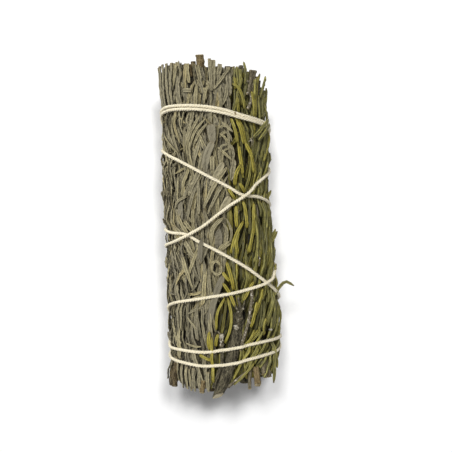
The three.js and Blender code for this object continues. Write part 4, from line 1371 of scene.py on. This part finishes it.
# Twigs and cut stubs that the photograph shows: pixel points, width in mm at both ends, depth at both ends
SAGE_TWIGS = [
    ([(175, 386), (175, 374), (176, 360)], (1.8, 1.7), (-0.1, 0.3)),
    ([(172.3, 384.5), (172, 374), (172.5, 362)], (1.3, 1.1), (0.2, 0.5)),
]
TAN_TWIGS = [
    ([(200.8, 55.6), (200.3, 66), (199.6, 78)], (2.35, 2.1), (-0.1, 2.4)),
    ([(202, 392.6), (202.8, 387), (203.5, 380.5)], (1.5, 1.3), (-0.2, 0.0)),
    ([(256.8, 384.6), (256.8, 377), (256.4, 367)], (2.1, 1.9), (-0.3, 0.6)),
    ([(186.5, 65.5), (187, 72), (187.5, 80)], (1.1, 1.0), (0.8, 1.8)),
    ([(191, 64.5), (190.5, 70), (190.5, 76)], (1.0, 0.9), (0.7, 1.8)),
    ([(235.0, 111.8), (235.2, 113), (235.6, 114.4)], (0.35, 0.3), (-1.25, -1.2)),
]
GREY_TWIGS = [
    ([(250.2, 70.5), (249.8, 80), (249.4, 94)], (1.3, 1.5), (-0.1, 0.9)),
    ([(253.3, 70.8), (252.8, 80), (252, 92)], (1.2, 1.4), (0.0, 1.0)),
    ([(249.2, 388.4), (249.8, 379), (251, 367)], (1.1, 0.9), (0.1, 0.9)),
    ([(266.5, 377), (266, 369), (264.5, 357)], (2.3, 2.0), (0.2, 1.0)),
    ([(263, 374), (263, 366), (262.5, 357)], (1.5, 1.3), (0.2, 1.0)),
]
ROSEMARY_TWIGS = [
    ([(258.2, 80.6), (257.8, 90), (257.2, 104)], (0.9, 0.7), (0.1, 1.0)),
    ([(213, 388), (217.5, 376), (222.3, 361.8), (222, 345)], (1.2, 1.3), (0.9, 0.1)),
    ([(240.5, 319), (240, 309), (238, 299)], (1.7, 0.7), (0.2, 0.0)),
    ([(239, 312), (236, 306), (234.2, 300)], (0.8, 0.45), (0.1, 0.1)),
    ([(241, 312), (243.5, 306), (245, 299)], (0.8, 0.4), (0.1, 0.2)),
]
PALE_TWIGS = [
    (
        [(240.7, 351), (242.8, 341), (246, 331.5), (248.8, 320), (250.4, 308), (251.9, 299), (251.8, 289)],
        (0.9, 0.9), (0.0, -0.2),
    ),
    (
        [(246.5, 94), (249, 93.4), (250.7, 96.3), (251.1, 100.5), (249.8, 104.7), (247.8, 108.8)],
        (0.7, 0.85), (-0.15, -0.1),
    ),
    ([(250, 138), (251.5, 141), (251, 147)], (0.22, 0.18), (-0.5, -0.4)),
    ([(252.5, 136.5), (251.5, 140), (252.8, 145)], (0.2, 0.15), (-0.5, -0.4)),
    ([(248.5, 141.5), (251, 140.5), (254, 142)], (0.2, 0.15), (-0.5, -0.5)),
    ([(236.5, 217), (238, 214), (239.5, 210)], (0.3, 0.3), (-0.2, -0.2)),
    ([(256, 205), (257.5, 210), (258, 216)], (0.35, 0.3), (-0.3, -0.3)),
    ([(258, 255), (259.5, 260), (259, 266)], (0.45, 0.4), (-0.3, -0.3)),
    ([(228.4, 387.3), (237, 379.5), (246.2, 371.8)], (0.8, 0.45), (0.0, -0.2)),
    ([(222, 346), (221.6, 340), (221.6, 334)], (1.2, 1.5), (0.2, -0.1)),
    ([(221.4, 336), (219.4, 333), (217.8, 331)], (0.6, 0.4), (0.0, 0.1)),
    ([(237.6, 330), (238.2, 322), (238.6, 317)], (0.3, 0.3), (-0.95, -0.9)),
]
# Knots where side shoots broke off: pixel x, pixel y, radius in mm, height above the foliage
SCARS = [
    (235.7, 326.8, 0.85, 0.75), (221.8, 336.5, 0.7, 0.5), (221.2, 341.5, 0.45, 0.4),
    (270.2, 329.5, 0.3, 0.2),
]
KNUCKLES = [
    (238, 298.3, 0.32, 0.4), (242.8, 308.5, 0.3, 0.3), (237.4, 312, 0.35, 0.3), (251.4, 303, 0.48, 0.3),
    (249.6, 316.5, 0.6, 0.3), (248.6, 322, 0.5, 0.3), (243.4, 338.5, 0.45, 0.3), (241.8, 347, 0.35, 0.2),
    (246.6, 81.3, 0.3, 0.3), (250.6, 309, 0.4, 0.3),
]


def lay_twig(parts, points, widths, depths, seed, knobs):
    angle, y = seen_line(points, sum(depths) / 2 + widths[0] / 4)
    depth = np.linspace(*depths, len(y)) + widths[0] / 4
    line = evenly(polar(angle, y, on_grid(smooth_grid, angle, y) - depth), 0.4)
    twig_with_cuts(parts, line, np.linspace(*widths, len(line)) / 2, 12, seed, 0.08, knobs, 0.6 * (y[0] < 0))


def lay_knots(parts, knots, seed):
    """Pale round knots where side shoots broke off."""
    for number, (px, py, radius, height) in enumerate(knots):
        random = np.random.default_rng(seed + number)
        angle, y = seen_at(px, py)
        up = on_grid(smooth_grid, angle, y) + height - 0.1 + np.array([-0.7, -0.15, 0.1, 0.25, 0.3])
        radii = radius * np.array([0.8, 1.0, 0.95, 0.7, 0.3]) * (1 + 0.1 * random.normal(size=5))
        parts.add(*tube(polar(angle, y, up), radii, 9, (0, 1, 0), seed + number, 0.05, 0.14, seed + number))


def make_twigs():
    kinds = (
        ("sage_twigs", SAGE_TWIGS, SAGE_BARK, "sage_stem", 0.05),
        ("tan_twigs", TAN_TWIGS, TAN_BARK, "sage_stem", 0.04),
        ("rosemary_twigs", ROSEMARY_TWIGS, ROSEMARY_BARK, "rosemary_stem", 0.06),
        ("grey_twigs", GREY_TWIGS, GREY_BARK, "rosemary_stem", 0.05),
        ("pale_twigs", PALE_TWIGS, PALE_BARK, "rosemary_stem", 0.14),
    )
    for name, twigs, bark, slot, knobs in kinds:
        parts = Parts()
        for number, twig in enumerate(twigs):
            lay_twig(parts, *twig, 60 + number, knobs)
        if bark is PALE_BARK:
            lay_knots(parts, KNUCKLES, 110)
        parts.make_piece(name, bark)
    parts = Parts()
    lay_knots(parts, SCARS, 90)
    parts.make_piece("pale_scars", SCAR)


stem_names = [n for n in sorted(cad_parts) if n.endswith("_stem") and n != "rosemary_sprig_1_stem"]
for number, stem_name in enumerate(stem_names):
    make_stem(stem_name, number + 11)
make_woody_stem()
make_twigs()


# The string, as three plies twisted round its line

PLY_RADIUS = 0.25
PLY_OFFSET = 0.26
TWIST_LENGTH = 2.5
FIBRES = 2.6  # loose fibres for each point of the string's line
FIBRE_WIDTH = 0.022


def twisted(parts, line, outward, seed):
    """Three plies twisted round a line."""
    line, outward = np.hsplit(evenly(np.hstack([line, outward]), 0.32), 2)
    side, up = frames(line, outward)
    for ply in range(3):
        turn = 2 * math.pi * (distances(line)[:, None] / TWIST_LENGTH + ply / 3)
        middle = line + PLY_OFFSET * (np.cos(turn) * side + np.sin(turn) * up)
        radii = np.full(len(line), PLY_RADIUS)
        parts.add(*tube(middle, radii, 6, up, seed + ply * 7, 0, 0.03, seed + ply))


def fuzz(parts, line, outward, seed):
    """Short loose fibres that stand off a string."""
    random = np.random.default_rng(seed)
    count = int(FIBRES * len(line))
    at = random.integers(1, len(line) - 2, count)
    way = unit(line[at + 1] - line[at])
    turn = random.uniform(0, 2 * math.pi, (count, 1))
    off = np.cos(turn) * np.cross(way, outward[at]) + np.sin(turn) * outward[at]
    start = line[at] + off * STRING_RADIUS * 0.85
    length = random.uniform(0.35, 1.1, (count, 1))
    lean = random.uniform(0.25, 0.9, (count, 1))
    sign = random.choice([-1.0, 1.0], (count, 1))
    end = start + length * (lean * off * 0.45 + sign * way * 0.8)
    middle = (start + end) / 2 + off * length * 0.12
    thin = unit(np.cross(end - start, off)) * FIBRE_WIDTH
    rings = []
    for place, share in ((start, 1.0), (middle, 0.8), (end, 0.4)):
        rings += [place - thin * share, place + thin * share, place + off * FIBRE_WIDTH * 1.5 * share]
    for k, points in enumerate(np.stack(rings, axis=1)):
        parts.add(points, np.tile([0.5, 0.5, k % 50], (9, 1)), ring_faces(3, 3))


def knot_path():
    """The knot's loops, flat against the bundle."""
    t = np.linspace(0, 2 * math.pi, 90)[:, None]
    ring = KNOT["radius"] * (2 + np.cos(3 * t)) / 2
    a = math.radians(KNOT["angle"])
    out = np.array([math.cos(a), 0, math.sin(a)])
    round_way = np.array([-math.sin(a), 0, math.cos(a)])
    radius = envelope(KNOT["angle"], KNOT["y"]) + KNOT["radius"] / 2 + STRING_RADIUS + STRING_GAP
    line = (
        polar(KNOT["angle"], KNOT["y"], radius) + ring * np.cos(2 * t) * round_way
        + ring * np.sin(2 * t) * [0, 1, 0] + KNOT["radius"] / 2 * np.sin(3 * t) * out
    )
    return line, np.tile(out, (len(line), 1))


def make_string():
    parts = Parts()
    outward = polar(string_angle, string_y, 1) - polar(string_angle, string_y, 0)
    to_stem = np.linalg.norm(string_middle[:, None] - woody_stem_line()[None], axis=2).min(1)
    over_stem = np.clip(3.6 - to_stem, 0, 0.85) * (string_radius > 12)
    line = string_middle + outward * over_stem[:, None]
    line = np.vstack([line[:1], (line[:-2] + line[1:-1] + line[2:]) / 3, line[-1:]])
    twisted(parts, line, outward, 3)
    fuzz(parts, line, outward, 8)
    twisted(parts, *knot_path(), 31)
    for number, tail in enumerate(TAILS):
        twisted(parts, *on_envelope(catmull_rom(tail, 16)), 41 + number)
    parts.make_piece("string_plies", COTTON, "cotton_string")


make_string()


# Ground, light and camera, in metres

GROUND_HALF = 1.5
LIGHT_DISTANCE = 1.2
SURROUNDING_LIGHT = 0.27


def make_ground():
    n = Nodes("ground_white")
    grain = n.noise(n.add("TexCoord").outputs["Object"], (40, 40, 40), 2)
    n.finish(n.toned(rgba("ffffff"), "f4f4f4", grain, 0.3, 0.7, 0.02), 0.9, 0.1)
    corners = [(x * GROUND_HALF, y * GROUND_HALF, 0) for x, y in ((-1, -1), (1, -1), (1, 1), (-1, 1))]
    mesh = bpy.data.meshes.new("ground")
    mesh.from_pydata(corners, [], [(0, 1, 2, 3)])
    ground = new_object("ground", mesh, [n.material])
    ground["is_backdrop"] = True
    return ground


def area_light(name, direction, size, share, receivers=()):
    """A square light in a direction, as bright as the share of white that it lays on level ground. Where it
    has receivers, it lights nothing else."""
    direction = Vector(direction).normalized()
    light = bpy.data.lights.new(name, "AREA")
    light.size = size
    light.energy = share * (math.pi * LIGHT_DISTANCE) ** 2 / direction.z
    lamp = bpy.data.objects.new(name, light)
    bpy.context.scene.collection.objects.link(lamp)
    lamp.location = direction * LIGHT_DISTANCE
    lamp.rotation_euler = direction.to_track_quat("Z", "Y").to_euler()
    if receivers:
        lamp.light_linking.receiver_collection = bpy.data.collections.new(name + "_receivers")
        for piece in receivers:
            lamp.light_linking.receiver_collection.objects.link(piece)


def make_light(ground):
    area_light("overhead_left", (-0.14, 0.48, 1), 0.2, 0.41)
    area_light("overhead_right", (0.2, 0.46, 1), 0.2, 0.44, [ground])
    area_light("left", (-0.66, 0.25, 1), 0.5, 0.43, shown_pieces())
    area_light("above", (-0.05, 0.1, 1), 0.9, 0.31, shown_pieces())
    world = bpy.data.worlds.new("studio")
    bpy.context.scene.world = world
    world.use_nodes = True
    tree = world.node_tree
    place = tree.nodes.new("ShaderNodeTexCoord")
    split = tree.nodes.new("ShaderNodeSeparateXYZ")
    level = tree.nodes.new("ShaderNodeMapRange")
    tree.links.new(place.outputs["Generated"], split.inputs[0])
    tree.links.new(split.outputs["X"], level.inputs["Value"])
    for key, value in ((1, -1.0), (2, 1.0), (3, SURROUNDING_LIGHT * 1.15), (4, SURROUNDING_LIGHT * 0.85)):
        level.inputs[key].default_value = value
    background = tree.nodes["Background"]
    background.inputs["Color"].default_value = (1, 1, 1, 1)
    tree.links.new(level.outputs[0], background.inputs["Strength"])


def make_camera():
    camera = bpy.data.cameras.new("camera")
    camera.sensor_width = SENSOR
    camera.lens = FOCAL_PIXELS / PHOTO_SIDE * SENSOR
    camera.clip_start = 0.01
    eye = bpy.data.objects.new("camera", camera)
    bpy.context.scene.collection.objects.link(eye)
    eye.location = ((CAMERA_X + AXIS_X) * MM, 0, (AXIS_HEIGHT + CAMERA_ABOVE_AXIS) * MM)
    eye.rotation_euler = (0, 0, -CAMERA_ROLL)
    bpy.context.scene.camera = eye


make_light(make_ground())
make_camera()
bpy.context.scene.view_settings.view_transform = "Standard"
